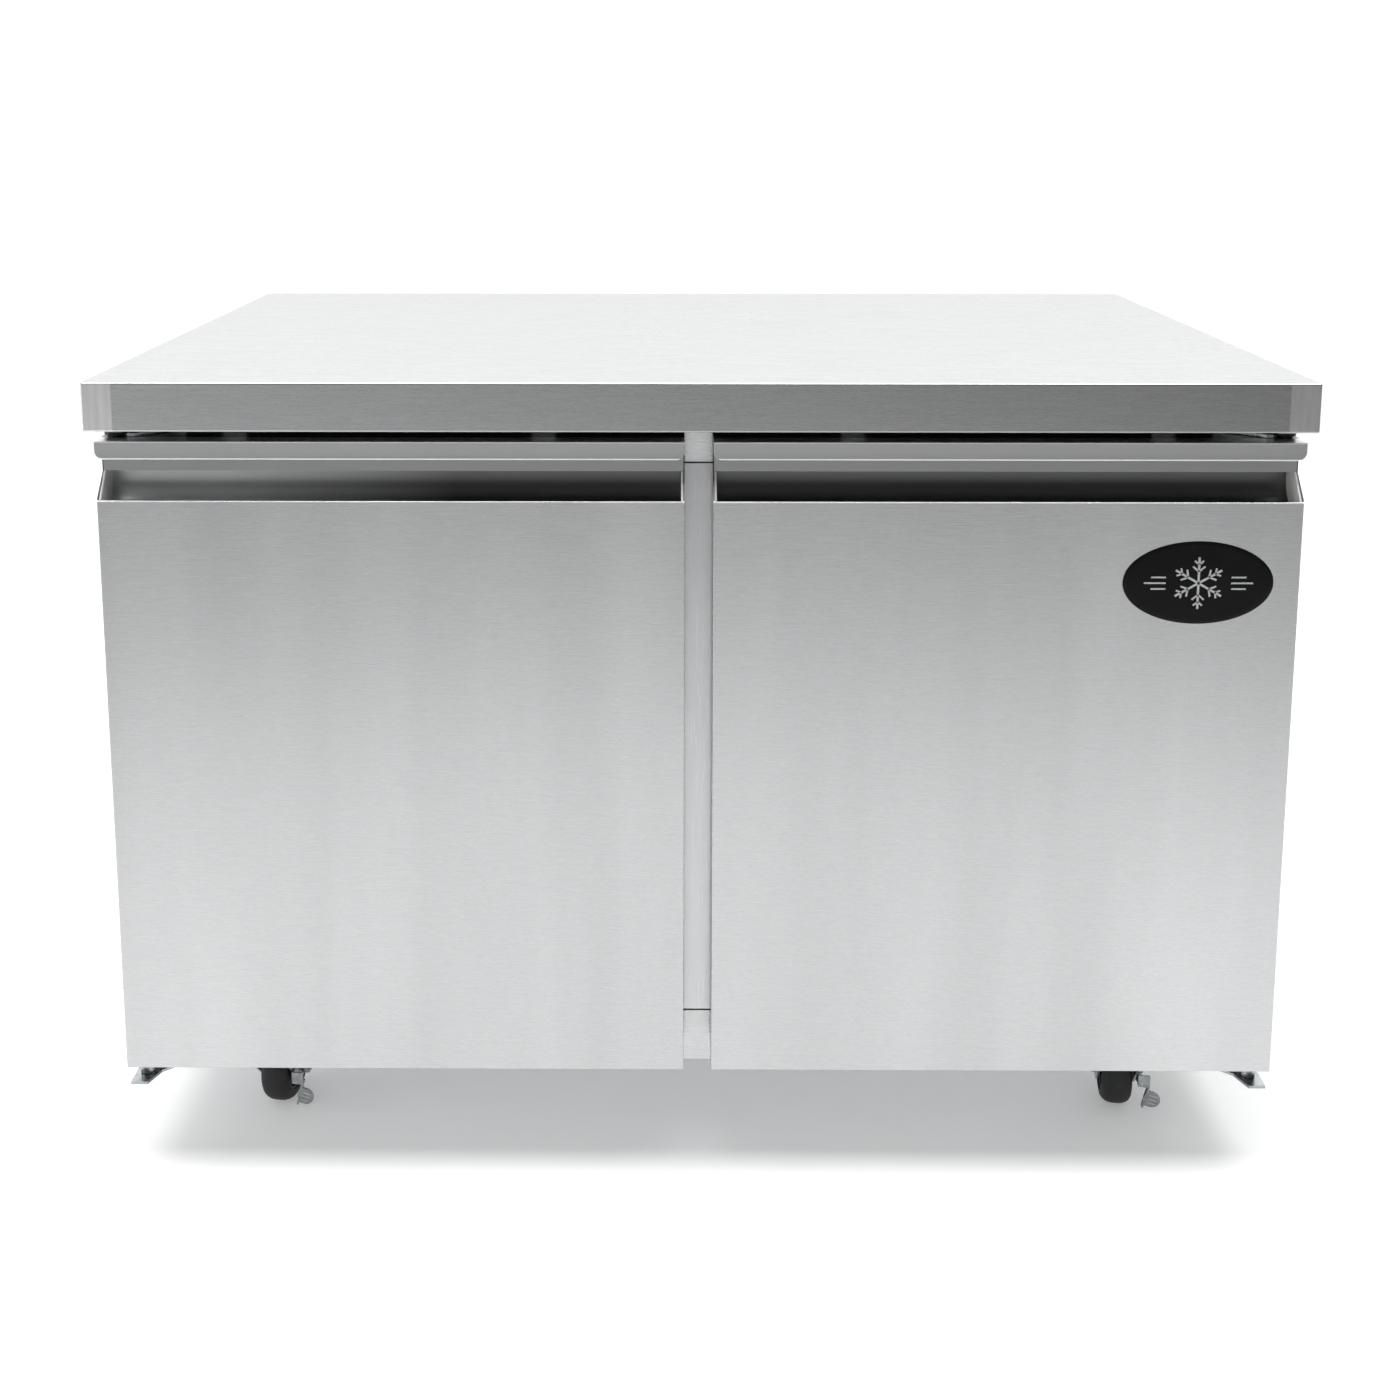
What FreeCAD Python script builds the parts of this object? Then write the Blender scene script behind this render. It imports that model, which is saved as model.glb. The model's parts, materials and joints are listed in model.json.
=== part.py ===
"""Two-door undercounter refrigerator on swivel casters: a parametric FreeCAD document.

Frame: +Z up, +X to the right as a person faces the doors, -Y the front. The origin is on the floor
at the centre of the worktop's outline. Millimetres. Every size comes from the sheet "dims".
"""

import FreeCAD, Part
import math
import os
import re
import Sketcher
from FreeCAD import Placement, Rotation, Vector

doc = FreeCAD.newDocument("undercounter_refrigerator")
sheet = doc.addObject("Spreadsheet::Sheet", "dims")

DRIVING = {
    # whole unit
    "overall_width": 1226,
    "overall_depth": 762,
    "overall_height": 867,
    "sheet_gauge": 1,
    # worktop
    "worktop_thickness": 50,
    "worktop_gauge": 1.2,
    "worktop_return": 40,
    # insulated cabinet and the machine compartment behind it
    "cabinet_width": 1213,
    "cabinet_rear_inset": 6,
    "side_wall": 48,
    "top_wall": 45,
    "bottom_wall": 58,
    "back_wall": 50,
    "interior_depth": 438,
    "frame_return": 19,
    "mullion_width": 110,
    "mullion_depth": 20,
    # doors
    "door_setback": 12,
    "door_thickness": 52,
    "seal_gap": 8,
    "door_top_gap": 12,
    "door_bottom_lift": 25,
    "door_spacing": 29,
    "gasket_inset": 16.5,
    "gasket_width": 16,
    "gasket_play": 0.3,
    "liner_raise": 14,
    "liner_margin": 14,
    # recessed handle along the top of each door
    "lip_height": 18.5,
    "lip_gauge": 1.5,
    "lip_corner": 9,
    "brow_setback": 22,
    "brow_height": 34.6,
    "pocket_drop": 61,
    "pocket_depth": 44,
    "pocket_floor_drop": 77,
    "pocket_sweep": 32,
    "pocket_corner": 4,
    "end_cap_thickness": 2.5,
    # door hinges
    "hinge_side_inset": 12.5,
    "hinge_front_inset": 30,
    "hinge_plate": 3,
    "hinge_flange": 2.5,
    "pin_radius": 4,
    "running_play": 0.05,
    "bush_radius": 6,
    "bush_depth": 28,
    "foot_bush_radius": 8,
    "hinge_cap_radius": 11,
    # casters
    "caster_height": 100,
    "caster_span": 960,
    "front_caster_inset": 56,
    "rear_caster_inset": 57,
    "caster_trail": 30,
    "wheel_radius": 38,
    "wheel_width": 34,
    "hub_radius": 25,
    "front_left_yaw": -8,
    "front_right_yaw": -8,
    "rear_left_yaw": 165,
    "rear_right_yaw": 190,
    # shelves
    "shelf_height": 440,
    "shelf_front": -270,
    "shelf_back": 105,
    "shelf_outer": 544,
    "shelf_inner": 20,
    "shelf_rod_radius": 3,
    "shelf_wire_radius": 2,
    "shelf_wire_count": 21,
    "pilaster_width": 22,
    "pilaster_projection": 10,
    "pilaster_height": 380,
    "pilaster_pitch": 25,
    # evaporator unit inside
    "evaporator_width": 460,
    "evaporator_depth": 120,
    "evaporator_bottom": 560,
    "evaporator_height": 210,
    "evaporator_fan_height": 665,
    "fan_radius": 72,
    "fan_clearance": 6,
    # condensing unit in the rear compartment
    "condenser_left": 20,
    "condenser_depth": 50,
    "condenser_bottom": 112,
    "condenser_size": 174,
    "condenser_height": 220,
    "compressor_centre_x": 300,
    "machine_centre_y": 277,
    # power cord entry and badge
    "gland_bore_radius": 4.7,
    "gland_length": 14,
    "badge_width": 152,
    "badge_height": 86,
    "badge_thickness": 1.5,
    "badge_centre_x": 504,
    "badge_centre_z": 661,
}

for row, (alias, value) in enumerate(DRIVING.items(), start=1):
    sheet.set(f"A{row}", alias)
    sheet.set(f"B{row}", str(value))
    sheet.setAlias(f"B{row}", alias)
doc.recompute()

# Places worked out from the driving dimensions, as expression text
HALF_WIDTH = "(overall_width / 2)"
WORKTOP_FRONT = "(-overall_depth / 2)"
WORKTOP_REAR = "(overall_depth / 2)"
WORKTOP_BOTTOM = "(overall_height - worktop_thickness)"
CABINET_SIDE = "(cabinet_width / 2)"
CABINET_REAR = f"({WORKTOP_REAR} - cabinet_rear_inset)"
FOOT = "caster_height"
DOOR_FRONT = f"({WORKTOP_FRONT} + door_setback)"
DOOR_BACK = f"({DOOR_FRONT} + door_thickness)"
FACE = f"({DOOR_BACK} + seal_gap)"
DOOR_TOP = f"({WORKTOP_BOTTOM} - door_top_gap)"
DOOR_BOTTOM = f"({FOOT} + door_bottom_lift)"
OPENING_SIDE = f"({CABINET_SIDE} - side_wall)"
OPENING_TOP = f"({WORKTOP_BOTTOM} - top_wall)"
OPENING_BOTTOM = f"({FOOT} + bottom_wall)"
INTERIOR_BACK = f"({FACE} + interior_depth)"
BOX_BACK = f"({INTERIOR_BACK} + back_wall + sheet_gauge)"
HINGE_X = f"({CABINET_SIDE} - hinge_side_inset)"
HINGE_Y = f"({DOOR_FRONT} + hinge_front_inset)"
DOOR_INNER = "(door_spacing / 2)"
PANEL_TOP = f"({DOOR_TOP} - pocket_drop)"
BROW_BOTTOM = f"({DOOR_TOP} - brow_height)"
POCKET_FLOOR = f"({DOOR_TOP} - pocket_floor_drop)"
TINY = 0.01


# ---------------------------------------------------------------- small modelling vocabulary
def in_sheet(text):
    """The expression with each alias of the sheet written as dims.alias."""

    def spelled(match):
        word = match.group()
        return "dims." + word if word in DRIVING else word

    return re.sub(r"[a-z][a-z_]+", spelled, str(text))


def size(text):
    """The present value of an expression, for shapes that are set in code."""
    found = sheet.evalExpression(in_sheet(text))
    return float(getattr(found, "Value", found))


def bind(thing, **properties):
    for name, text in properties.items():
        thing.setExpression(name, in_sheet(text))


def place(thing, x="0", y="0", z="0"):
    for axis, text in zip("xyz", (x, y, z)):
        thing.setExpression(f".Placement.Base.{axis}", in_sheet(text))
    return thing


def box(name, x, y, z):
    """A block between two expressions on each axis."""
    made = doc.addObject("Part::Box", name)
    bind(made, Length=f"({x[1]}) - ({x[0]})", Width=f"({y[1]}) - ({y[0]})", Height=f"({z[1]}) - ({z[0]})")
    return place(made, x[0], y[0], z[0])


AXIS_TURN = {"x": Rotation(Vector(0, 1, 0), 90), "y": Rotation(Vector(1, 0, 0), -90), "z": Rotation()}


def cylinder(name, axis, x, y, z, radius, length):
    """A round bar that starts at x, y, z and runs along +axis."""
    made = doc.addObject("Part::Cylinder", name)
    made.Placement = Placement(Vector(), AXIS_TURN[axis])
    bind(made, Radius=radius, Height=length)
    return place(made, x, y, z)


def fuse(name, *shapes):
    made = doc.addObject("Part::MultiFuse", name)
    made.Shapes = list(shapes)
    made.Refine = True
    return made


def group(name, *shapes):
    """Separate solids that share one node."""
    made = doc.addObject("Part::Compound", name)
    made.Links = list(shapes)
    return made


def cut(name, base, *tools):
    made = doc.addObject("Part::Cut", name)
    made.Base = base
    made.Tool = tools[0] if len(tools) == 1 else group(name + "_tools", *tools)
    return made


def mirror(name, source):
    """The same piece on the other side of the X = 0 plane."""
    made = doc.addObject("Part::Mirroring", name)
    made.Source = source
    made.Normal = Vector(1, 0, 0)
    return made


def shape(name, made_of):
    """A shape that Part's own functions make, with sizes read from the sheet."""
    made = doc.addObject("Part::Feature", name)
    made.Shape = made_of
    return made


ROLE_OF = {"x": "YZ_Plane", "y": "XZ_Plane", "z": "XY_Plane"}


def outline_sketch(body, axis, points):
    """A closed outline of straight sides, each corner held by two dimensions bound to the sheet."""
    sketch = body.newObject("Sketcher::SketchObject", body.Name + "_outline")
    plane = next(f for f in body.Origin.OriginFeatures if f.Role == ROLE_OF[axis])
    sketch.AttachmentSupport = [(plane, "")]
    sketch.MapMode = "FlatFace"
    corners = [Vector(size(u), size(v), 0) for u, v in points]
    count = len(corners)
    for i, corner in enumerate(corners):
        sketch.addGeometry(Part.LineSegment(corner, corners[(i + 1) % count]), False)
    for i in range(count):
        sketch.addConstraint(Sketcher.Constraint("Coincident", i, 2, (i + 1) % count, 1))
    for i, (u, v) in enumerate(points):
        for kind, text, value in (("DistanceX", u, corners[i].x), ("DistanceY", v, corners[i].y)):
            held = sketch.addConstraint(Sketcher.Constraint(kind, -1, 1, i, 1, value))
            sketch.setExpression(f"Constraints[{held}]", in_sheet(text))
    return sketch


def profile(name, axis, points, start, end, rounds=()):
    """An outline across one axis, padded from start to end along it.

    rounds are the corners to soften, as (u, v, radius).
    """
    body = doc.addObject("PartDesign::Body", name)
    sketch = outline_sketch(body, axis, points)
    flip = axis == "y"
    sketch.setExpression(".AttachmentOffset.Base.z", in_sheet(f"-({end})" if flip else start))
    pad = body.newObject("PartDesign::Pad", name + "_pad")
    pad.Profile = sketch
    bind(pad, Length=f"({end}) - ({start})")
    last = pad
    for number, (u, v, radius) in enumerate(rounds):
        doc.recompute()
        along = edges_at(last.Shape, axis, size(u), size(v))
        softened = body.newObject("PartDesign::Fillet", f"{name}_round_{number}")
        softened.Base = (last, along)
        bind(softened, Radius=radius)
        last = softened
    body.Tip = last
    return body


def edges_at(solid, axis, u, v):
    """Names of the straight edges that run along axis through the point u, v of its cross-section."""
    index = "xyz".index(axis)
    others = [i for i in range(3) if i != index]
    names = []
    for number, edge in enumerate(solid.Edges, start=1):
        ends = [vertex.Point for vertex in edge.Vertexes]
        if len(ends) == 2 and all(abs(p[others[0]] - u) + abs(p[others[1]] - v) < TINY for p in ends):
            names.append(f"Edge{number}")
    return names


def revolved(name, points, axis_turn=Rotation()):
    """A solid of revolution about its own Z, from (radius, height) corners."""
    body = doc.addObject("PartDesign::Body", name)
    sketch = outline_sketch(body, "y", points)
    turned = body.newObject("PartDesign::Revolution", name + "_turn")
    turned.Profile = sketch
    turned.ReferenceAxis = (sketch, ["V_Axis"])
    turned.Angle = 360
    body.Placement = Placement(Vector(), axis_turn)
    return body


def pipe(name, points, radius, bend):
    """A round tube along straight runs joined by tangent arcs of one bend radius."""
    corners = [Vector(*[size(c) for c in p]) for p in points]
    bend_radius = size(bend)
    edges = []
    here = corners[0]
    for before, corner, after in zip(corners, corners[1:], corners[2:]):
        into = (corner - before).normalize()
        out = (after - corner).normalize()
        turn = into.getAngle(out)
        reach = bend_radius * math.tan(turn / 2)
        start, end = corner - into * reach, corner + out * reach
        inward = (out - into).normalize()
        middle = corner + inward * (bend_radius / math.cos(turn / 2) - bend_radius)
        edges += [Part.LineSegment(here, start).toShape(), Part.Arc(start, middle, end).toShape()]
        here = end
    edges.append(Part.LineSegment(here, corners[-1]).toShape())
    path = Part.Wire(edges)
    rim = Part.Wire(Part.makeCircle(size(radius), corners[0], corners[1] - corners[0]))
    return shape(name, path.makePipeShell([rim], True, False))


def slots(name, x_centres, z_centres, width, height, y):
    """A field of rectangular cutters through a sheet that faces Y."""
    return [
        box(f"{name}_{i}_{k}", (f"{x} - {width} / 2", f"{x} + {width} / 2"), y,
            (f"{z} - {height} / 2", f"{z} + {height} / 2"))
        for i, x in enumerate(x_centres)
        for k, z in enumerate(z_centres)
    ]


NODES = {}


def node(name, thing):
    """Makes a finished piece into a node of its own, which names its file."""
    thing.Label = name
    NODES[name] = thing
    return thing


# ---------------------------------------------------------------- worktop
def worktop():
    outer = box("worktop_outer", (f"-{HALF_WIDTH}", HALF_WIDTH), (WORKTOP_FRONT, WORKTOP_REAR),
                (WORKTOP_BOTTOM, "overall_height"))
    inside = (
        (f"-{HALF_WIDTH} + worktop_gauge", f"{HALF_WIDTH} - worktop_gauge"),
        (f"{WORKTOP_FRONT} + worktop_gauge", f"{WORKTOP_REAR} - worktop_gauge"),
        (f"{WORKTOP_BOTTOM} + worktop_gauge", "overall_height - worktop_gauge"),
    )
    below = box("worktop_open_underside",
                (f"-{HALF_WIDTH} + worktop_return", f"{HALF_WIDTH} - worktop_return"),
                (f"{WORKTOP_FRONT} + worktop_return", f"{WORKTOP_REAR} - worktop_return"),
                (f"{WORKTOP_BOTTOM} - 1", f"{WORKTOP_BOTTOM} + worktop_gauge"))
    node("worktop_shell", cut("worktop_sheet", outer, box("worktop_hollow", *inside), below))
    node("worktop_core", box("worktop_board", *inside))


BRACKET_PLACES = ("-480", "-160", "160", "480")
BRACKET_HALF = "12"


def worktop_brackets():
    """Angle brackets that pull the worktop down on the front rail."""
    made = []
    for number, x in enumerate(BRACKET_PLACES):
        across = (f"{x} - {BRACKET_HALF}", f"{x} + {BRACKET_HALF}")
        upright = box(f"bracket_upright_{number}", across, (f"{FACE} - 2", FACE),
                      (f"{DOOR_TOP} + 1", f"{WORKTOP_BOTTOM} + worktop_gauge"))
        tongue = box(f"bracket_tongue_{number}", across, (f"{FACE} - 22", f"{FACE} - 2"),
                     (f"{WORKTOP_BOTTOM} - 0.8", f"{WORKTOP_BOTTOM} + worktop_gauge"))
        made.append(fuse(f"bracket_{number}", upright, tongue))
    node("worktop_brackets", group("worktop_bracket_set", *made))


# ---------------------------------------------------------------- cabinet
DRAIN_X, DRAIN_Z, DRAIN_RADIUS, DRAIN_FOOT = "-180", "574", "7", "150"
SUCTION_X, SUCTION_Z, SUCTION_RADIUS = "190", "720", "4.5"
CAPILLARY_X, CAPILLARY_Z, CAPILLARY_RADIUS = "150", "735", "2"
WALL_PLAY = "0.4"


def wall_holes(name):
    """Cutters for the drain, the suction line and the capillary through the back wall."""
    bores = ((DRAIN_X, DRAIN_Z, DRAIN_RADIUS), (SUCTION_X, SUCTION_Z, SUCTION_RADIUS),
             (CAPILLARY_X, CAPILLARY_Z, CAPILLARY_RADIUS))
    start = f"{INTERIOR_BACK} - 5"
    return [cylinder(f"{name}_hole_{i}", "y", x, start, z, f"{r} + {WALL_PLAY}", "back_wall + 12")
            for i, (x, z, r) in enumerate(bores)]


def cabinet():
    sides = []
    for name, low, high in (("left", f"-{CABINET_SIDE}", f"-{CABINET_SIDE} + sheet_gauge"),
                            ("right", f"{CABINET_SIDE} - sheet_gauge", CABINET_SIDE)):
        sides.append(box(f"side_sheet_{name}", (low, high), (FACE, CABINET_REAR), (FOOT, WORKTOP_BOTTOM)))
    node("side_panels", group("side_panel_pair", *sides))

    inner_side = f"({CABINET_SIDE} - sheet_gauge)"
    across = (f"-{inner_side}", inner_side)
    opening = ((f"-{OPENING_SIDE}", OPENING_SIDE), (OPENING_BOTTOM, OPENING_TOP))
    grown = ((f"-{OPENING_SIDE} - sheet_gauge", f"{OPENING_SIDE} + sheet_gauge"),
             (f"{OPENING_BOTTOM} - sheet_gauge", f"{OPENING_TOP} + sheet_gauge"))
    face = box("frame_face", across, (FACE, f"{FACE} + sheet_gauge"), (FOOT, WORKTOP_BOTTOM))
    collar = box("frame_collar", grown[0], (FACE, f"{FACE} + frame_return"), grown[1])
    through = box("frame_opening", opening[0], (f"{FACE} - 1", f"{FACE} + frame_return + 1"), opening[1])
    node("front_frame", cut("front_frame_sheet", fuse("frame_ring", face, collar), through))

    half = "(mullion_width / 2)"
    seam = "1.5"
    depth = (FACE, f"{FACE} + mullion_depth")
    channel = box("mullion_channel", (f"-{half}", half), depth, opening[1])
    hollow = box("mullion_hollow", (f"-{half} + sheet_gauge", f"{half} - sheet_gauge"),
                 (f"{FACE} + sheet_gauge", f"{FACE} + mullion_depth + 1"),
                 (f"{OPENING_BOTTOM} - 1", f"{OPENING_TOP} + 1"))
    seams = [box(f"mullion_seam_{end}", (f"-{half} - 1", f"{half} + 1"),
                 (f"{FACE} - 1", f"{FACE} + sheet_gauge"), z)
             for end, z in (("foot", (f"{OPENING_BOTTOM} - 1", f"{OPENING_BOTTOM} + {seam}")),
                            ("head", (f"{OPENING_TOP} - {seam}", f"{OPENING_TOP} + 1")))]
    node("centre_mullion", cut("mullion_sheet", channel, hollow, *seams))

    foam = box("foam_block", across, (f"{FACE} + sheet_gauge", f"{BOX_BACK} - sheet_gauge"),
               (f"{FOOT} + sheet_gauge", f"{WORKTOP_BOTTOM} - sheet_gauge"))
    cavity = box("foam_cavity", grown[0], (FACE, f"{INTERIOR_BACK} + sheet_gauge"), grown[1])
    filler = box("mullion_filler", (f"-{half} + sheet_gauge", f"{half} - sheet_gauge"),
                 (f"{FACE} + sheet_gauge", f"{FACE} + mullion_depth"),
                 (f"{OPENING_BOTTOM} + 2 * {seam}", f"{OPENING_TOP} - 2 * {seam}"))
    walls = cut("foam_walls", foam, cavity, *wall_holes("foam"))
    node("insulation_foam", group("foam_set", walls, filler))

    liner_y = (f"{FACE} + frame_return", f"{INTERIOR_BACK} + sheet_gauge")
    liner = box("liner_outer", grown[0], liner_y, grown[1])
    room = box("liner_room", opening[0], (f"{FACE} + frame_return - 1", INTERIOR_BACK), opening[1])
    node("inner_liner", cut("liner_sheet", liner, room, *wall_holes("liner")))

    base = box("base_sheet", across, (f"{FACE} + sheet_gauge", f"{CABINET_REAR} - sheet_gauge"),
               (FOOT, f"{FOOT} + sheet_gauge"))
    back = box("back_sheet", across, (f"{BOX_BACK} - sheet_gauge", BOX_BACK), (FOOT, WORKTOP_BOTTOM))
    skin = fuse("base_and_back_sheet", base, back)
    node("base_and_back_pan", cut("base_and_back_bored", skin, *wall_holes("back")))


# ---------------------------------------------------------------- rear grille, controller and cord entry
LOUVRE_COLUMNS = ("-420", "-140", "140", "420")
LOUVRE_ROWS = [str(z) for z in range(180, 421, 24)]
UPPER_ROWS = [str(z) for z in range(660, 757, 24)]
LOUVRE_WIDTH, LOUVRE_HEIGHT = "200", "8"
CONTROLLER_X, CONTROLLER_Z = "-521", "560"
CONTROLLER_WIDTH, CONTROLLER_HEIGHT = "78", "35"
GLAND_X, GLAND_Z, GLAND_SLEEVE, GLAND_FLANGE = "520", "560", "9", "13"
GRILLE_SCREWS = [(x, z) for x in ("-590", "-200", "200", "590") for z in ("116", "802")]
SCREW_SHANK, SCREW_HEAD, SCREW_HEAD_HEIGHT = "2", "4.2", "2.2"


def rear_grille():
    inner_side = f"({CABINET_SIDE} - sheet_gauge)"
    y = (f"{CABINET_REAR} - sheet_gauge", CABINET_REAR)
    beyond = (f"{CABINET_REAR} - 3", f"{CABINET_REAR} + 1")
    sheet_panel = box("grille_sheet", (f"-{inner_side}", inner_side), y, (FOOT, WORKTOP_BOTTOM))
    vents = slots("vent", LOUVRE_COLUMNS, LOUVRE_ROWS, LOUVRE_WIDTH, LOUVRE_HEIGHT, beyond)
    vents += slots("upper_vent", LOUVRE_COLUMNS, UPPER_ROWS, LOUVRE_WIDTH, LOUVRE_HEIGHT, beyond)
    window = slots("controller_window", [CONTROLLER_X], [CONTROLLER_Z], "70.4", "29.4", beyond)
    entry = cylinder("grille_gland_hole", "y", GLAND_X, beyond[0], GLAND_Z, f"{GLAND_SLEEVE} + 0.1", "4")
    bores = [cylinder(f"grille_screw_hole_{i}", "y", x, beyond[0], z, f"{SCREW_SHANK} + 0.1", "4")
             for i, (x, z) in enumerate(GRILLE_SCREWS)]
    node("rear_grille", cut("grille_panel", sheet_panel, *vents, *window, entry, *bores))

    flange = cylinder("gland_flange", "y", GLAND_X, CABINET_REAR, GLAND_Z, GLAND_FLANGE, "5")
    sleeve = cylinder("gland_sleeve", "y", GLAND_X, f"{CABINET_REAR} + 5 - gland_length", GLAND_Z,
                      GLAND_SLEEVE, "gland_length")
    bore = cylinder("gland_bore", "y", GLAND_X, f"{CABINET_REAR} + 4 - gland_length", GLAND_Z,
                    "gland_bore_radius", "gland_length + 2")
    node("cord_gland", cut("gland_bush", fuse("gland_body", flange, sleeve), bore))


KEY_WIDTH, KEY_HEIGHT, KEY_GAP = "9", "7", "0.4"
KEY_PLACES = {"key_up": "5", "key_down": "-5"}
KEY_OFFSET_X = "27"


def controller():
    x, z = CONTROLLER_X, CONTROLLER_Z
    bezel = box("controller_bezel", (f"{x} - {CONTROLLER_WIDTH} / 2", f"{x} + {CONTROLLER_WIDTH} / 2"),
                (CABINET_REAR, f"{CABINET_REAR} + 3"),
                (f"{z} - {CONTROLLER_HEIGHT} / 2", f"{z} + {CONTROLLER_HEIGHT} / 2"))
    case = box("controller_case", (f"{x} - 35", f"{x} + 35"), (f"{CABINET_REAR} - 55", CABINET_REAR),
               (f"{z} - 14.5", f"{z} + 14.5"))
    pockets = []
    for name, lift in KEY_PLACES.items():
        centre_x, centre_z = f"({x} - {KEY_OFFSET_X})", f"({z} + {lift})"
        spread = [(f"{c} - {s} / 2", f"{c} + {s} / 2")
                  for c, s in ((centre_x, KEY_WIDTH), (centre_z, KEY_HEIGHT))]
        node(name, box(name + "_cap", spread[0], (f"{CABINET_REAR} + 2", f"{CABINET_REAR} + 3.8"),
                       spread[1]))
        wider = [(f"{low} - {KEY_GAP}", f"{high} + {KEY_GAP}") for low, high in spread]
        pockets.append(box(name + "_pocket", wider[0], (f"{CABINET_REAR} + 1", f"{CABINET_REAR} + 4"),
                           wider[1]))
    node("controller", cut("controller_body", fuse("controller_whole", bezel, case), *pockets))

    outer = box("control_box_outer", ("430", "570"), (f"{BOX_BACK}", f"{BOX_BACK} + 90"), ("400", "500"))
    inside = box("control_box_inside", ("431", "569"), (f"{BOX_BACK} + 1", f"{BOX_BACK} + 91"),
                 ("401", "499"))
    node("control_box", cut("control_box_tray", outer, inside))


# ---------------------------------------------------------------- door hinges fixed to the cabinet
HINGE_SCREW_PLACES = ("572", "552")


def hinge_brackets():
    top_plate_z = (f"{DOOR_TOP} + 6.3", f"{DOOR_TOP} + 6.3 + hinge_plate")
    top = profile("top_hinge_arm", "z", [
        (f"-{HINGE_X} - 10", f"{HINGE_Y} - 14"), (f"-{HINGE_X} + 10", f"{HINGE_Y} - 14"),
        (f"-{HINGE_X} + 55", f"{FACE} - 6"), (f"-{HINGE_X} + 55", FACE), (f"-{HINGE_X} - 12", FACE),
    ], *top_plate_z, rounds=[
        (f"-{HINGE_X} - 10", f"{HINGE_Y} - 14", "6"), (f"-{HINGE_X} + 10", f"{HINGE_Y} - 14", "6"),
    ])
    web = profile("top_hinge_web", "z", [
        (f"-{HINGE_X} + 14", f"{HINGE_Y} - 8"), (f"-{HINGE_X} + 21", f"{HINGE_Y} - 8"),
        (f"-{HINGE_X} + 55", f"{FACE} - 6"), (f"-{HINGE_X} + 55", FACE), (f"-{HINGE_X} + 14", FACE),
    ], f"{DOOR_TOP} + 0.8", f"{DOOR_TOP} + 0.8 + hinge_plate")
    flange = box("top_hinge_flange", (f"-{HINGE_X} - 12", f"-{HINGE_X} + 55"),
                 (f"{FACE} - hinge_flange", FACE),
                 (f"{DOOR_TOP} - 12", f"{DOOR_TOP} + 6.3"))
    pin = cylinder("top_hinge_pin", "z", f"-{HINGE_X}", HINGE_Y, f"{DOOR_TOP} - 22", "pin_radius",
                   "28.3 + hinge_plate")
    holes = [cylinder(f"top_hinge_hole_{x}", "y", f"-{x}", f"{FACE} - 5", f"{DOOR_TOP} - 4",
                      f"{SCREW_SHANK} + 0.1", "6")
             for x in HINGE_SCREW_PLACES]
    left_top = cut("top_hinge_left", fuse("top_hinge_whole", top, web, flange, pin), *holes)
    node("top_hinge_brackets", group("top_hinge_pair", left_top, mirror("top_hinge_right", left_top)))

    foot = profile("foot_hinge_arm", "z", [
        (f"-{CABINET_SIDE}", f"{HINGE_Y} - 21"), (f"-{HINGE_X} + 5", f"{HINGE_Y} - 21"),
        (f"-{HINGE_X} + 14", f"{HINGE_Y} + 1"), (f"-{HINGE_X} + 50", FACE), (f"-{CABINET_SIDE}", FACE),
    ], FOOT, f"{FOOT} + hinge_plate")
    upstand = box("foot_hinge_flange", (f"-{CABINET_SIDE}", f"-{HINGE_X} + 50"),
                  (f"{FACE} - hinge_flange", FACE),
                  (FOOT, f"{DOOR_BOTTOM} - 2"))
    stub = cylinder("foot_hinge_pin", "z", f"-{HINGE_X}", HINGE_Y, FOOT, "pin_radius", "45")
    holes = [cylinder(f"foot_hinge_hole_{x}", "y", f"-{x}", f"{FACE} - 5", f"{FOOT} + 14",
                      f"{SCREW_SHANK} + 0.1", "6")
             for x in HINGE_SCREW_PLACES]
    left_foot = cut("foot_hinge_left", fuse("foot_hinge_whole", foot, upstand, stub), *holes)
    node("bottom_hinge_brackets", group("foot_hinge_pair", left_foot,
                                        mirror("foot_hinge_right", left_foot)))


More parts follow.
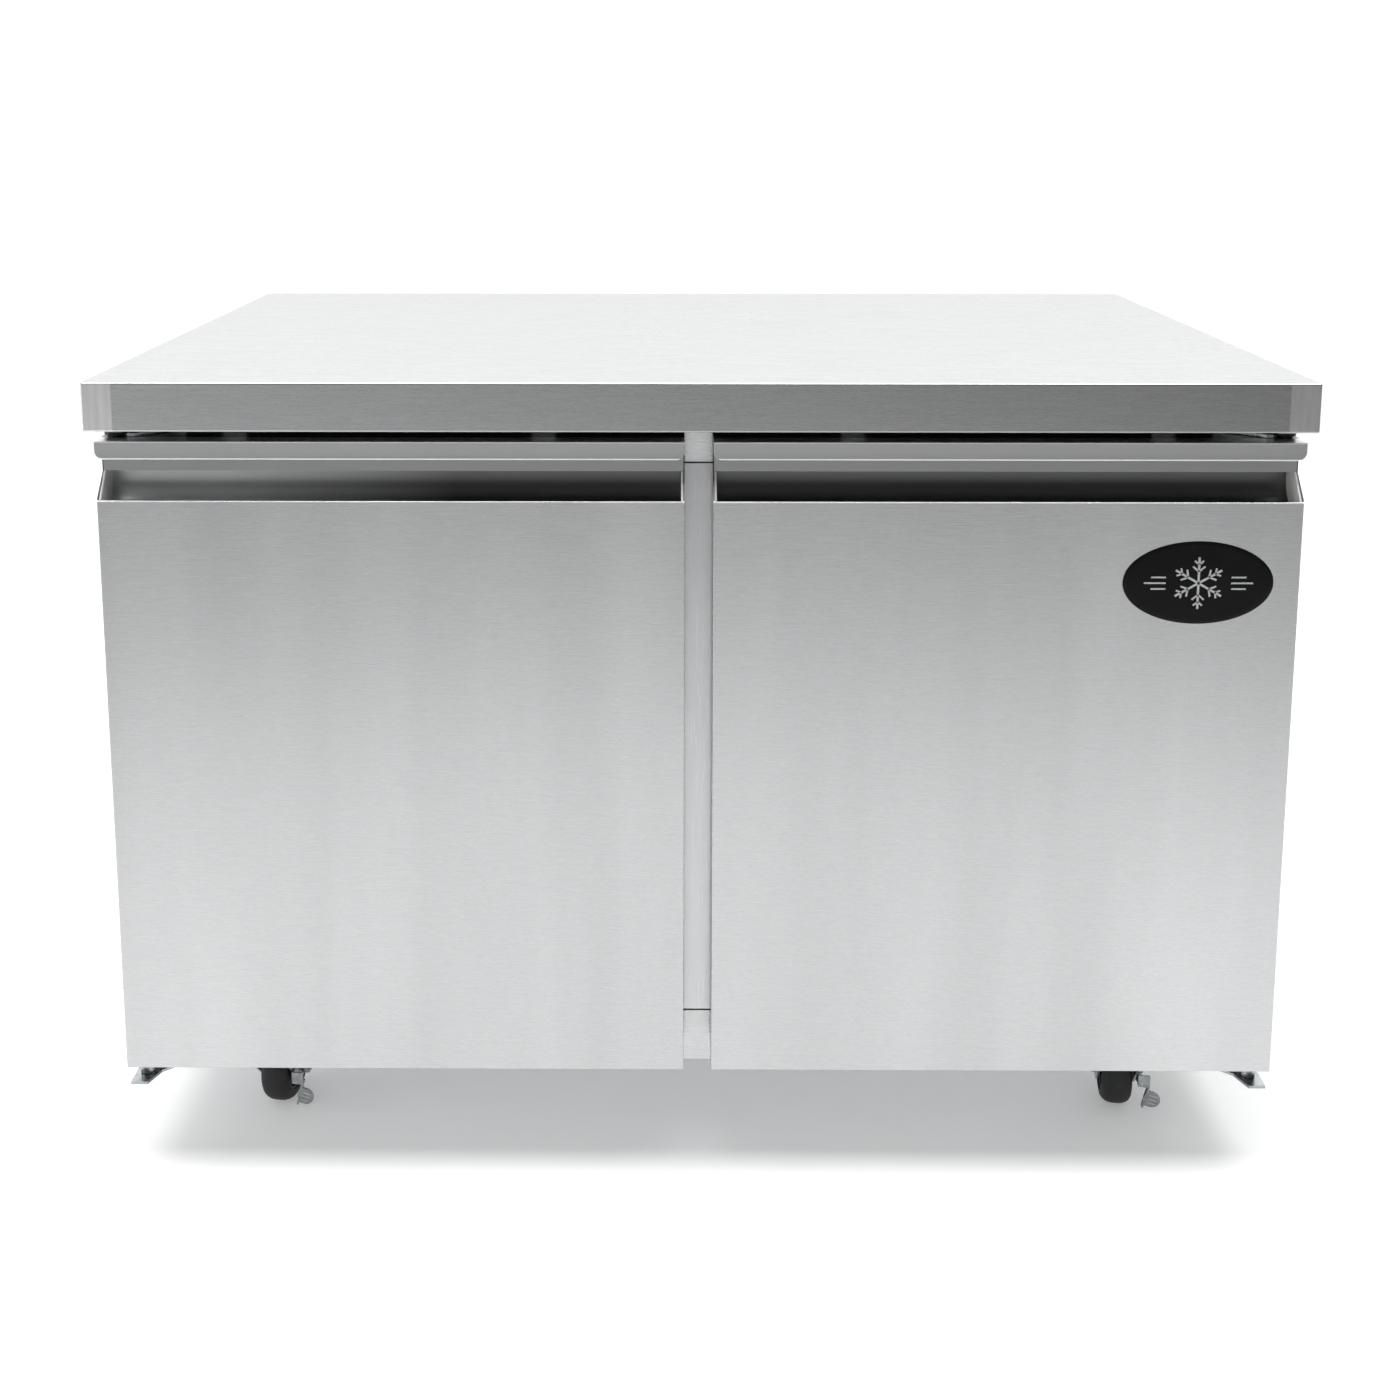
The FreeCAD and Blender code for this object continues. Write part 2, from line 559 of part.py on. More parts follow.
# ---------------------------------------------------------------- doors, built on the left and mirrored
def door():
    """The left door's pieces, by name."""
    outer, inner = f"-{CABINET_SIDE}", f"-{DOOR_INNER}"
    inside = (f"{outer} + sheet_gauge", f"{inner} - sheet_gauge")
    brow = f"({DOOR_FRONT} + brow_setback)"
    back_wall_y = f"({DOOR_FRONT} + pocket_depth)"
    pieces = {}

    front = box("skin_front", (outer, inner), (DOOR_FRONT, f"{DOOR_FRONT} + sheet_gauge"),
                (DOOR_BOTTOM, PANEL_TOP))
    foot = box("skin_foot", (outer, inner), (DOOR_FRONT, DOOR_BACK),
               (DOOR_BOTTOM, f"{DOOR_BOTTOM} + sheet_gauge"))
    cap = box("skin_cap", (outer, inner), (f"{brow} + sheet_gauge", DOOR_BACK),
              (f"{DOOR_TOP} - sheet_gauge", DOOR_TOP))
    side_outline = [(DOOR_FRONT, DOOR_BOTTOM), (DOOR_FRONT, PANEL_TOP), (brow, BROW_BOTTOM),
                    (brow, DOOR_TOP), (DOOR_BACK, DOOR_TOP), (DOOR_BACK, DOOR_BOTTOM)]
    cheeks = [profile("skin_cheek_outer", "x", side_outline, outer, inside[0]),
              profile("skin_cheek_inner", "x", side_outline, inside[1], inner)]
    bores = [cylinder("skin_top_bore", "z", f"-{HINGE_X}", HINGE_Y, f"{DOOR_TOP} - 5", "bush_radius", "10"),
             cylinder("skin_foot_bore", "z", f"-{HINGE_X}", HINGE_Y, f"{DOOR_BOTTOM} - 5", "bush_radius",
                      "10")]
    pieces["skin"] = cut("skin_bored", fuse("skin_whole", front, foot, cap, *cheeks), *bores)

    sweep, corner = "pocket_sweep", "pocket_corner"
    channel = profile("handle_channel", "x", [
        (f"{DOOR_FRONT} + 2 * sheet_gauge", PANEL_TOP),
        (f"{DOOR_FRONT} + 2 * sheet_gauge", POCKET_FLOOR),
        (back_wall_y, POCKET_FLOOR),
        (back_wall_y, BROW_BOTTOM),
        (brow, BROW_BOTTOM),
        (brow, f"{DOOR_TOP} - sheet_gauge"),
        (f"{brow} + sheet_gauge", f"{DOOR_TOP} - sheet_gauge"),
        (f"{brow} + sheet_gauge", f"{BROW_BOTTOM} + sheet_gauge"),
        (f"{back_wall_y} + sheet_gauge", f"{BROW_BOTTOM} + sheet_gauge"),
        (f"{back_wall_y} + sheet_gauge", f"{POCKET_FLOOR} - sheet_gauge"),
        (f"{DOOR_FRONT} + sheet_gauge", f"{POCKET_FLOOR} - sheet_gauge"),
        (f"{DOOR_FRONT} + sheet_gauge", PANEL_TOP),
    ], *inside, rounds=[
        (back_wall_y, POCKET_FLOOR, sweep),
        (f"{back_wall_y} + sheet_gauge", f"{POCKET_FLOOR} - sheet_gauge", f"{sweep} + sheet_gauge"),
        (f"{DOOR_FRONT} + 2 * sheet_gauge", POCKET_FLOOR, corner),
        (f"{DOOR_FRONT} + sheet_gauge", f"{POCKET_FLOOR} - sheet_gauge", f"{corner} + sheet_gauge"),
    ])
    shelf = box("handle_shelf", (outer, inner), (DOOR_FRONT, f"{brow} + sheet_gauge"),
                (f"{DOOR_TOP} - sheet_gauge", DOOR_TOP))
    lip_foot = f"{DOOR_TOP} - lip_height"
    lip = profile("handle_lip", "y", [
        (outer, DOOR_TOP), (outer, lip_foot), (inner, lip_foot), (inner, DOOR_TOP),
    ], DOOR_FRONT, f"{DOOR_FRONT} + lip_gauge", rounds=[
        (outer, lip_foot, "lip_corner"), (inner, lip_foot, "lip_corner"),
    ])
    pieces["handle"] = fuse("handle_whole", channel, shelf, lip)

    cap_outline = [
        (f"{DOOR_FRONT} + 2 * sheet_gauge", PANEL_TOP), (brow, BROW_BOTTOM), (back_wall_y, BROW_BOTTOM),
        (back_wall_y, POCKET_FLOOR), (f"{DOOR_FRONT} + 2 * sheet_gauge", POCKET_FLOOR),
    ]
    cap_rounds = [(back_wall_y, POCKET_FLOOR, sweep),
                  (f"{DOOR_FRONT} + 2 * sheet_gauge", POCKET_FLOOR, corner)]
    pieces["end_caps"] = group(
        "end_cap_pair",
        profile("end_cap_outer", "x", cap_outline, inside[0], f"{inside[0]} + end_cap_thickness",
                cap_rounds),
        profile("end_cap_inner", "x", cap_outline, f"{inside[1]} - end_cap_thickness", inside[1],
                cap_rounds),
    )

    field_x = (f"-{OPENING_SIDE} + liner_margin", f"-(mullion_width / 2) - liner_margin")
    field_z = (f"{OPENING_BOTTOM} + liner_margin", f"{OPENING_TOP} - liner_margin")
    foam_field_x = (f"{field_x[0]} + sheet_gauge", f"{field_x[1]} - sheet_gauge")
    foam_field_z = (f"{field_z[0]} + sheet_gauge", f"{field_z[1]} - sheet_gauge")
    foam_core = profile("door_foam_core", "x", [
        (f"{DOOR_FRONT} + sheet_gauge", f"{DOOR_BOTTOM} + sheet_gauge"),
        (f"{DOOR_FRONT} + sheet_gauge", f"{POCKET_FLOOR} - sheet_gauge"),
        (f"{back_wall_y} + sheet_gauge", f"{POCKET_FLOOR} - sheet_gauge"),
        (f"{back_wall_y} + sheet_gauge", f"{BROW_BOTTOM} + sheet_gauge"),
        (f"{brow} + sheet_gauge", f"{BROW_BOTTOM} + sheet_gauge"),
        (f"{brow} + sheet_gauge", f"{DOOR_TOP} - sheet_gauge"),
        (f"{DOOR_BACK} - sheet_gauge", f"{DOOR_TOP} - sheet_gauge"),
        (f"{DOOR_BACK} - sheet_gauge", f"{DOOR_BOTTOM} + sheet_gauge"),
    ], *inside, rounds=[(f"{back_wall_y} + sheet_gauge", f"{POCKET_FLOOR} - sheet_gauge",
                         f"{sweep} + sheet_gauge")])
    field_foam = box("door_foam_field", foam_field_x,
                     (f"{DOOR_BACK} - sheet_gauge", f"{DOOR_BACK} + liner_raise - sheet_gauge"),
                     foam_field_z)
    bush_room = [cylinder("foam_top_bore", "z", f"-{HINGE_X}", HINGE_Y, f"{DOOR_TOP} - bush_depth",
                          "bush_radius", "40"),
                 cylinder("foam_foot_bore", "z", f"-{HINGE_X}", HINGE_Y, f"{DOOR_BOTTOM} - 5",
                          "bush_radius", "30")]
    pieces["foam"] = cut("door_foam_bored", fuse("door_foam_whole", foam_core, field_foam), *bush_room)

    back = box("liner_back", inside, (f"{DOOR_BACK} - sheet_gauge", DOOR_BACK),
               (f"{DOOR_BOTTOM} + sheet_gauge", f"{DOOR_TOP} - sheet_gauge"))
    raised = box("liner_raised", field_x, (f"{DOOR_BACK} - sheet_gauge", f"{DOOR_BACK} + liner_raise"),
                 field_z)
    pieces["liner"] = cut("liner_pan", fuse("liner_whole", back, raised),
                          box("liner_hollow", foam_field_x,
                              (f"{DOOR_BACK} - 2", f"{DOOR_BACK} + liner_raise - sheet_gauge"),
                              foam_field_z))

    gasket_x = (f"{outer} + gasket_inset", f"{inner} - gasket_inset")
    gasket_z = (f"{DOOR_BOTTOM} + gasket_inset", f"{DOOR_TOP} - gasket_inset")
    ring = box("gasket_ring", gasket_x, (DOOR_BACK, f"{FACE} - gasket_play"), gasket_z)
    window = box("gasket_window", *[
        (f"{gasket_x[0]} + gasket_width", f"{gasket_x[1]} - gasket_width"), (f"{DOOR_BACK} - 1", FACE),
        (f"{gasket_z[0]} + gasket_width", f"{gasket_z[1]} - gasket_width"),
    ])
    pieces["gasket"] = cut("gasket_seal", ring, window)

    washer = cylinder("top_bush_washer", "z", f"-{HINGE_X}", HINGE_Y, DOOR_TOP, "foot_bush_radius", "3")
    cap_disc = cylinder("top_bush_cap", "z", f"-{HINGE_X}", HINGE_Y, f"{DOOR_TOP} + 2", "hinge_cap_radius",
                        "4")
    spring_case = cylinder("top_bush_case", "z", f"-{HINGE_X}", HINGE_Y, f"{DOOR_TOP} - bush_depth",
                           "bush_radius", "bush_depth")
    top_bore = cylinder("top_bush_bore", "z", f"-{HINGE_X}", HINGE_Y, f"{DOOR_TOP} - bush_depth + 3",
                        "pin_radius + running_play", "bush_depth + 8")
    top_bush = cut("top_bush", fuse("top_bush_whole", spring_case, washer, cap_disc), top_bore)
    collar = cylinder("foot_bush_collar", "z", f"-{HINGE_X}", HINGE_Y, f"{FOOT} + hinge_plate + 0.3",
                      "foot_bush_radius", f"{DOOR_BOTTOM} - {FOOT} - hinge_plate - 0.3")
    stem = cylinder("foot_bush_stem", "z", f"-{HINGE_X}", HINGE_Y, DOOR_BOTTOM, "bush_radius", "25")
    foot_bore = cylinder("foot_bush_bore", "z", f"-{HINGE_X}", HINGE_Y, FOOT, "pin_radius + running_play",
                         f"{DOOR_BOTTOM} - {FOOT} + 22")
    foot_bush = cut("foot_bush", fuse("foot_bush_whole", collar, stem), foot_bore)
    pieces["hinge_bushes"] = group("bush_pair", top_bush, foot_bush)
    return pieces


def doors():
    for piece, made in door().items():
        node(f"door_left_{piece}", made)
        node(f"door_right_{piece}", mirror(f"door_right_{piece}_copy", made))
    oval = Part.Ellipse(Vector(), size("badge_width") / 2, size("badge_height") / 2)
    plate = Part.Face(Part.Wire(oval.toShape())).extrude(Vector(0, 0, size("badge_thickness")))
    badge = node("badge", shape("badge_plate", plate))
    badge.Placement = Placement(Vector(size("badge_centre_x"), size(DOOR_FRONT), size("badge_centre_z")),
                                Rotation(Vector(1, 0, 0), 90))


# ---------------------------------------------------------------- casters, built about their swivel axis
CASTERS = {
    "front_left": ("-caster_span / 2", f"{FACE} + front_caster_inset", "front_left_yaw", True),
    "front_right": ("caster_span / 2", f"{FACE} + front_caster_inset", "front_right_yaw", True),
    "rear_left": ("-caster_span / 2", f"{CABINET_REAR} - rear_caster_inset", "rear_left_yaw", False),
    "rear_right": ("caster_span / 2", f"{CABINET_REAR} - rear_caster_inset", "rear_right_yaw", False),
}
KINGPIN = "5"
BOLT_X, BOLT_Y = "37", "24"
AXLE_RADIUS = "4"
LEG_INNER = "(wheel_width / 2 + 2.5)"
LEG_OUTER = f"({LEG_INNER} + 2.5)"
TREAD_CROWN = (("11", "0"), ("6.2", "1.4"), ("2.6", "4.4"), ("0.6", "9"), ("0", "14"))


def set_down(thing, x, y, yaw):
    """Moves a caster piece from its own frame to its corner of the unit, turned about its swivel axis."""
    held = group(thing.Name + "_placed", thing)
    held.Placement = Placement(Vector(), Rotation(Vector(0, 0, 1), size(yaw)))
    return place(held, x, y)


def caster(name, x, y, yaw, braked):
    plate = box(f"{name}_plate_sheet", ("-47.5", "47.5"), ("-32.5", "32.5"),
                ("caster_height - 3", "caster_height"))
    race = cylinder(f"{name}_race", "z", "0", "0", "caster_height - 10", "24", "7.5")
    bore = cylinder(f"{name}_plate_bore", "z", "0", "0", "caster_height - 11", f"{KINGPIN} + 0.3", "12")
    bolts = [cylinder(f"{name}_plate_hole_{i}", "z", f"{sx}{BOLT_X}", f"{sy}{BOLT_Y}", "caster_height - 4",
                      "4.2", "5")
             for i, (sx, sy) in enumerate((("-", "-"), ("-", "+"), ("+", "-"), ("+", "+")))]
    top = cut(f"{name}_plate", fuse(f"{name}_plate_whole", plate, race), bore, *bolts)
    mounted = place(group(f"{name}_plate_placed", top), x, y)

    trail, axle_z = "caster_trail", "wheel_radius"
    disc = cylinder(f"{name}_disc", "z", "0", "0", "caster_height - 16", "22", "5.7")
    kingpin = cylinder(f"{name}_kingpin", "z", "0", "0", "caster_height - 16", KINGPIN, "14")
    bridge = box(f"{name}_bridge", (f"-{LEG_OUTER}", LEG_OUTER), ("-20", "26"),
                 ("caster_height - 19", "caster_height - 16"))
    leg_outline = [("-20", "caster_height - 16"), ("26", "caster_height - 16"),
                   (f"{trail} + 13", f"{axle_z} + 6"), (f"{trail} + 10", f"{axle_z} - 10"),
                   (f"{trail} - 10", f"{axle_z} - 10"), ("-20", "caster_height - 30")]
    legs = [profile(f"{name}_leg_left", "x", leg_outline, f"-{LEG_OUTER}", f"-{LEG_INNER}"),
            profile(f"{name}_leg_right", "x", leg_outline, LEG_INNER, LEG_OUTER)]
    hole = cylinder(f"{name}_axle_hole", "x", "-40", trail, axle_z, f"{AXLE_RADIUS} + running_play", "80")
    yoke = cut(f"{name}_yoke", fuse(f"{name}_yoke_whole", disc, kingpin, bridge, *legs), hole)
    stem = cylinder(f"{name}_axle_stem", "x", f"-{LEG_OUTER} - 4", trail, axle_z, AXLE_RADIUS,
                    f"2 * {LEG_OUTER} + 14")
    head = cylinder(f"{name}_axle_head", "x", f"-{LEG_OUTER} - 4", trail, axle_z, "7", "4")
    nut = cylinder(f"{name}_axle_nut", "x", f"{LEG_OUTER} + 3", trail, axle_z, "7", "5")
    axle = fuse(f"{name}_axle", stem, head, nut)
    node(f"caster_{name}_fork", set_down(group(f"{name}_fork_set", yoke, axle), x, y, yaw))

    half = "(wheel_width / 2)"
    crown = [("wheel_radius - " + drop, f"{half} - {across}") for drop, across in TREAD_CROWN]
    far_side = [("wheel_radius - " + drop, f"-{half} + {across}") for drop, across in TREAD_CROWN]
    tyre = revolved(f"{name}_tyre", [
        ("hub_radius", f"-{half}"), *far_side, *crown[::-1], ("hub_radius", half),
    ], AXIS_TURN["x"])
    hub = revolved(f"{name}_hub", [
        (f"{AXLE_RADIUS} + running_play", f"-{half} - 1"), ("9", f"-{half} - 1"), ("9", f"-{half} + 4"),
        ("hub_radius", f"-{half} + 4"), ("hub_radius", f"{half} - 4"), ("9", f"{half} - 4"),
        ("9", f"{half} + 1"), (f"{AXLE_RADIUS} + running_play", f"{half} + 1"),
    ], AXIS_TURN["x"])
    wheel = place(group(f"{name}_wheel_set", tyre, hub), "0", trail, axle_z)
    node(f"caster_{name}_wheel", set_down(wheel, x, y, yaw))
    if braked:
        node(f"caster_{name}_brake", set_down(brake(name, trail, axle_z), x, y, yaw))
    return mounted


TAB_LEAN = 14
TAB_REACH, TAB_RADIUS = "7", "9.5"


def brake(name, trail, axle_z):
    """A foot lever beside the fork: an arm on the axle, an outward flange and a leaning half-round tab."""
    arm_x = (f"{LEG_OUTER} + 0.3", f"{LEG_OUTER} + 2.3")
    front = ("-6", "-4")
    arm = profile(f"{name}_brake_arm", "x", [
        (f"{trail} + 9", f"{axle_z} - 7"), (f"{trail} + 9", f"{axle_z} + 7"), ("4", f"{axle_z} + 14"),
        (front[0], f"{axle_z} + 14"), (front[0], axle_z), ("4", axle_z), (f"{trail} - 9", f"{axle_z} - 7"),
    ], *arm_x)
    flange = box(f"{name}_brake_flange", (arm_x[0], f"{arm_x[0]} + 13"), front, (axle_z, f"{axle_z} + 14"))

    rib = box(f"{name}_brake_rib", ("-1", "1"), ("0", "7"), ("-27", "2"))
    tab = box(f"{name}_brake_tab", ("-1", TAB_REACH), ("0", "2"),
              (f"-14 - {TAB_RADIUS}", f"-14 + {TAB_RADIUS}"))
    tip = cylinder(f"{name}_brake_tip", "y", TAB_REACH, "0", "-14", TAB_RADIUS, "2")
    hanging = group(f"{name}_brake_tab_set", fuse(f"{name}_brake_tab_whole", rib, tab, tip))
    hanging.Placement = Placement(Vector(), Rotation(Vector(0, 1, 0), TAB_LEAN))
    place(hanging, f"{arm_x[0]} + 12", front[0], f"{axle_z} + 1")

    bore = cylinder(f"{name}_brake_bore", "x", "0", trail, axle_z, f"{AXLE_RADIUS} + running_play", "40")
    return cut(f"{name}_brake_lever", fuse(f"{name}_brake_whole", arm, flange, hanging), bore)


def casters():
    plates = [caster(name, *rest) for name, rest in CASTERS.items()]
    node("caster_plates", group("caster_plate_set", *plates))


# ---------------------------------------------------------------- shelves and their supports
SIDE_PILASTERS = ("-251", "81")
SLOT_FIRST = 15


def pilaster(name, heading, x, y):
    """A slotted channel that stands on a wall at x, y and projects from it in the direction of heading."""
    half, gauge = "pilaster_width / 2", "1.5"
    foot = f"({OPENING_BOTTOM} + 8)"
    bar = box(name + "_bar", ("0", "pilaster_projection"), (f"-{half}", half),
              (foot, f"{foot} + pilaster_height"))
    hollow = box(name + "_hollow", ("0", f"pilaster_projection - {gauge}"),
                 (f"-{half} + {gauge}", f"{half} - {gauge}"),
                 (f"{foot} - 1", f"{foot} + pilaster_height + 1"))
    steps = range(SLOT_FIRST, DRIVING["pilaster_height"] - SLOT_FIRST, DRIVING["pilaster_pitch"])
    holes = [box(f"{name}_slot_{step}", (f"pilaster_projection - {gauge} - 1", "pilaster_projection + 1"),
                 ("-5", "5"), (f"{foot} + {step}", f"{foot} + {step} + 7")) for step in steps]
    held = group(f"{name}_placed", cut(name, bar, hollow, *holes))
    held.Placement = Placement(Vector(), Rotation(Vector(0, 0, 1), heading))
    return place(held, x, y)


def clip(name, x, y):
    """A support clip: a block with an upstand that stops the shelf's rim rod."""
    top = "shelf_height - shelf_rod_radius"
    return box(name, x, y, (f"{top} - 11", top))


def shelf_supports():
    made = []
    for number, y in enumerate(SIDE_PILASTERS):
        made.append(pilaster(f"pilaster_left_{number}", 0, f"-{OPENING_SIDE}", y))
        made.append(pilaster(f"pilaster_right_{number}", 180, OPENING_SIDE, y))
    mullion_back = f"({FACE} + mullion_depth)"
    made.append(pilaster("pilaster_mullion", 90, "0", mullion_back))
    made.append(pilaster("pilaster_back", -90, "0", INTERIOR_BACK))
    node("shelf_pilasters", group("pilaster_set", *made))

    clips = []
    reach = f"({OPENING_SIDE} - pilaster_projection)"
    for sign in ("-", ""):
        for number, y in enumerate(SIDE_PILASTERS):
            ends = (f"{sign}{reach}", f"{sign}({reach} - 12)")
            clips.append(clip(f"clip_side_{len(clips)}", ends if sign else ends[::-1],
                              (f"{y} - 6", f"{y} + 6")))
    front = f"({mullion_back} + pilaster_projection)"
    rear = f"({INTERIOR_BACK} - pilaster_projection)"
    clips.append(clip("clip_front", ("-30", "30"), (front, "shelf_front + 6")))
    clips.append(clip("clip_rear", ("-30", "30"), ("shelf_back - 6", rear)))
    node("shelf_clips", group("clip_set", *clips))


def wire_shelf():
    """The left shelf: four rods along it, two rods at its ends and wires laid across, all welded."""
    rod, wire, z = "shelf_rod_radius", "shelf_wire_radius", "shelf_height"
    left, right = "-shelf_outer", "-shelf_inner"
    parts = []
    for i, y in enumerate(("shelf_front", "-140", "-25", "shelf_back")):
        parts.append(cylinder(f"shelf_rod_{i}", "x", left, y, z, rod, "shelf_outer - shelf_inner"))
    for i, x in enumerate((left, right)):
        parts.append(cylinder(f"shelf_end_{i}", "y", x, "shelf_front", z, rod, "shelf_back - shelf_front"))
        for k, y in enumerate(("shelf_front", "shelf_back")):
            ball = doc.addObject("Part::Sphere", f"shelf_corner_{i}_{k}")
            bind(ball, Radius=rod)
            parts.append(place(ball, x, y, z))
    count = int(DRIVING["shelf_wire_count"])
    for i in range(1, count + 1):
        x = f"{left} + (shelf_outer - shelf_inner) * {i} / {count + 1}"
        parts.append(cylinder(f"shelf_wire_{i}", "y", x, "shelf_front - 2", f"{z} + {rod} + {wire} - 1",
                              wire, "shelf_back - shelf_front + 4"))
    return fuse("shelf_welded", *parts)


def shelves():
    made = wire_shelf()
    node("shelf_left", made)
    node("shelf_right", mirror("shelf_right_copy", made))


# ---------------------------------------------------------------- evaporator unit
FAN_BLADES = 5
BLADE_PITCH = 28
BLADE_ROOT, BLADE_CHORD, BLADE_GAUGE = "8", "30", "1.6"
MOTOR_SHAFT = "3"


def axial_fan(name, hub_radius, hub_length, reach, turn, x, y, z):
    """A hub with pitched blades, built about +Z and then turned and placed."""
    hub = cylinder(f"{name}_hub", "z", "0", "0", "0", hub_radius, hub_length)
    pitch = Rotation(Vector(1, 0, 0), BLADE_PITCH)
    middle = Vector(0, 0, size(hub_length) / 2)
    corner = Vector(0, -size(BLADE_CHORD) / 2, -size(BLADE_GAUGE) / 2)
    root = Vector(size(BLADE_ROOT), 0, 0) + pitch.multVec(corner)
    blades = []
    for number in range(FAN_BLADES):
        blade = doc.addObject("Part::Box", f"{name}_blade_{number}")
        bind(blade, Length=f"{reach} - {BLADE_ROOT}", Width=BLADE_CHORD, Height=BLADE_GAUGE)
        spin = Rotation(Vector(0, 0, 1), number * 360 / FAN_BLADES)
        blade.Placement = Placement(middle + spin.multVec(root), spin * pitch)
        blades.append(blade)
    whole = fuse(f"{name}_whole", hub, *blades)
    bore = cylinder(f"{name}_bore", "z", "0", "0", "-5", MOTOR_SHAFT + " + running_play",
                    f"{hub_length} + 10")
    held = group(f"{name}_placed", cut(f"{name}_rotor", whole, bore))
    held.Placement = Placement(Vector(), turn)
    return place(held, x, y, z)


def evaporator():
    half = "(evaporator_width / 2)"
    front = f"({INTERIOR_BACK} - evaporator_depth)"
    top = "(evaporator_bottom + evaporator_height)"
    wall = "2"
    outer = box("cover_outer", (f"-{half}", half), (front, INTERIOR_BACK), ("evaporator_bottom", top))
    inside = box("cover_inside", (f"-{half} + {wall}", f"{half} - {wall}"),
                 (f"{front} + {wall}", f"{INTERIOR_BACK} + 1"),
                 (f"evaporator_bottom + {wall}", f"{top} - {wall}"))
    eye = cylinder("cover_eye", "y", "0", f"{front} - 1", "evaporator_fan_height",
                   "fan_radius + fan_clearance", "4")
    vents = slots("cover_vent", ("-165", "165"), [str(z) for z in range(600, 741, 20)], "90", "7",
                  (f"{front} - 1", f"{front} + 3"))
    shell = cut("cover_shell", outer, inside, eye, *vents)
    guard = []
    for ring in (22, 40, 58):
        band = cylinder(f"guard_band_{ring}", "y", "0", front, "evaporator_fan_height", str(ring + 3), wall)
        void = cylinder(f"guard_void_{ring}", "y", "0", f"{front} - 1", "evaporator_fan_height", str(ring),
                        "5")
        guard.append(cut(f"guard_ring_{ring}", band, void))
    reach = "(fan_radius + fan_clearance + 2)"
    guard.append(box("guard_spoke_across", (f"-{reach}", reach), (front, f"{front} + {wall}"),
                     ("evaporator_fan_height - 1.5", "evaporator_fan_height + 1.5")))
    guard.append(box("guard_spoke_up", ("-1.5", "1.5"), (front, f"{front} + {wall}"),
                     (f"evaporator_fan_height - {reach}", f"evaporator_fan_height + {reach}")))
    node("evaporator_cover", fuse("cover_with_guard", shell, *guard))

    node("evaporator_fan", axial_fan("evaporator_rotor", "20", "22", "fan_radius", AXIS_TURN["y"],
                                     "0", f"{front} + 12", "evaporator_fan_height"))
    can = cylinder("evaporator_motor_can", "y", "0", f"{front} + 38", "evaporator_fan_height", "26", "30")
    shaft = cylinder("evaporator_motor_shaft", "y", "0", f"{front} + 12", "evaporator_fan_height",
                     MOTOR_SHAFT, "30")
    bar = box("evaporator_motor_bar", ("-100", "100"), (f"{front} + 64", f"{front} + 66"),
              ("evaporator_fan_height - 10", "evaporator_fan_height + 10"))
    posts = [box(f"evaporator_motor_post_{i}", x, (f"{front} + {wall}", f"{front} + 66"),
                 ("evaporator_fan_height - 10", "evaporator_fan_height + 10"))
             for i, x in enumerate((("-100", "-98"), ("98", "100")))]
    node("evaporator_fan_motor", fuse("evaporator_motor", can, shaft, bar, *posts))

    coil_y = (f"{front} + 70", f"{front} + 114")
    fins = [box(f"evaporator_fin_{i}", (f"{x} - 0.6", f"{x} + 0.6"), coil_y, ("596", "756"))
            for i, x in enumerate(range(-196, 197, 14))]
    tubes = [cylinder(f"evaporator_tube_{i}_{k}", "x", "-208", f"{front} + {81 + 22 * i}", str(z), "4.5",
                      "416")
             for i in range(2) for k, z in enumerate(range(612, 741, 32))]
    header = box("evaporator_header", ("136", "208"), (f"{front} + 110", f"{front} + 117"), ("712", "742"))
    node("evaporator_coil", fuse("evaporator_finned_coil", *fins, *tubes, header))

    tray = box("drip_tray", ("-214", "214"), (f"{front} + 68", f"{front} + 118"), ("564", "588"))
    basin = box("drip_basin", ("-212", "212"), (f"{front} + 70", f"{front} + 116"), ("566", "589"))
    drain = pipe("drain_tube", [(DRAIN_X, f"{front} + 118", DRAIN_Z),
                                (DRAIN_X, f"{BOX_BACK} + 28", DRAIN_Z),
                                (DRAIN_X, f"{BOX_BACK} + 28", DRAIN_FOOT)], DRAIN_RADIUS, "20")
    node("drip_pan", group("drip_set", cut("drip_pan_tray", tray, basin), drain))


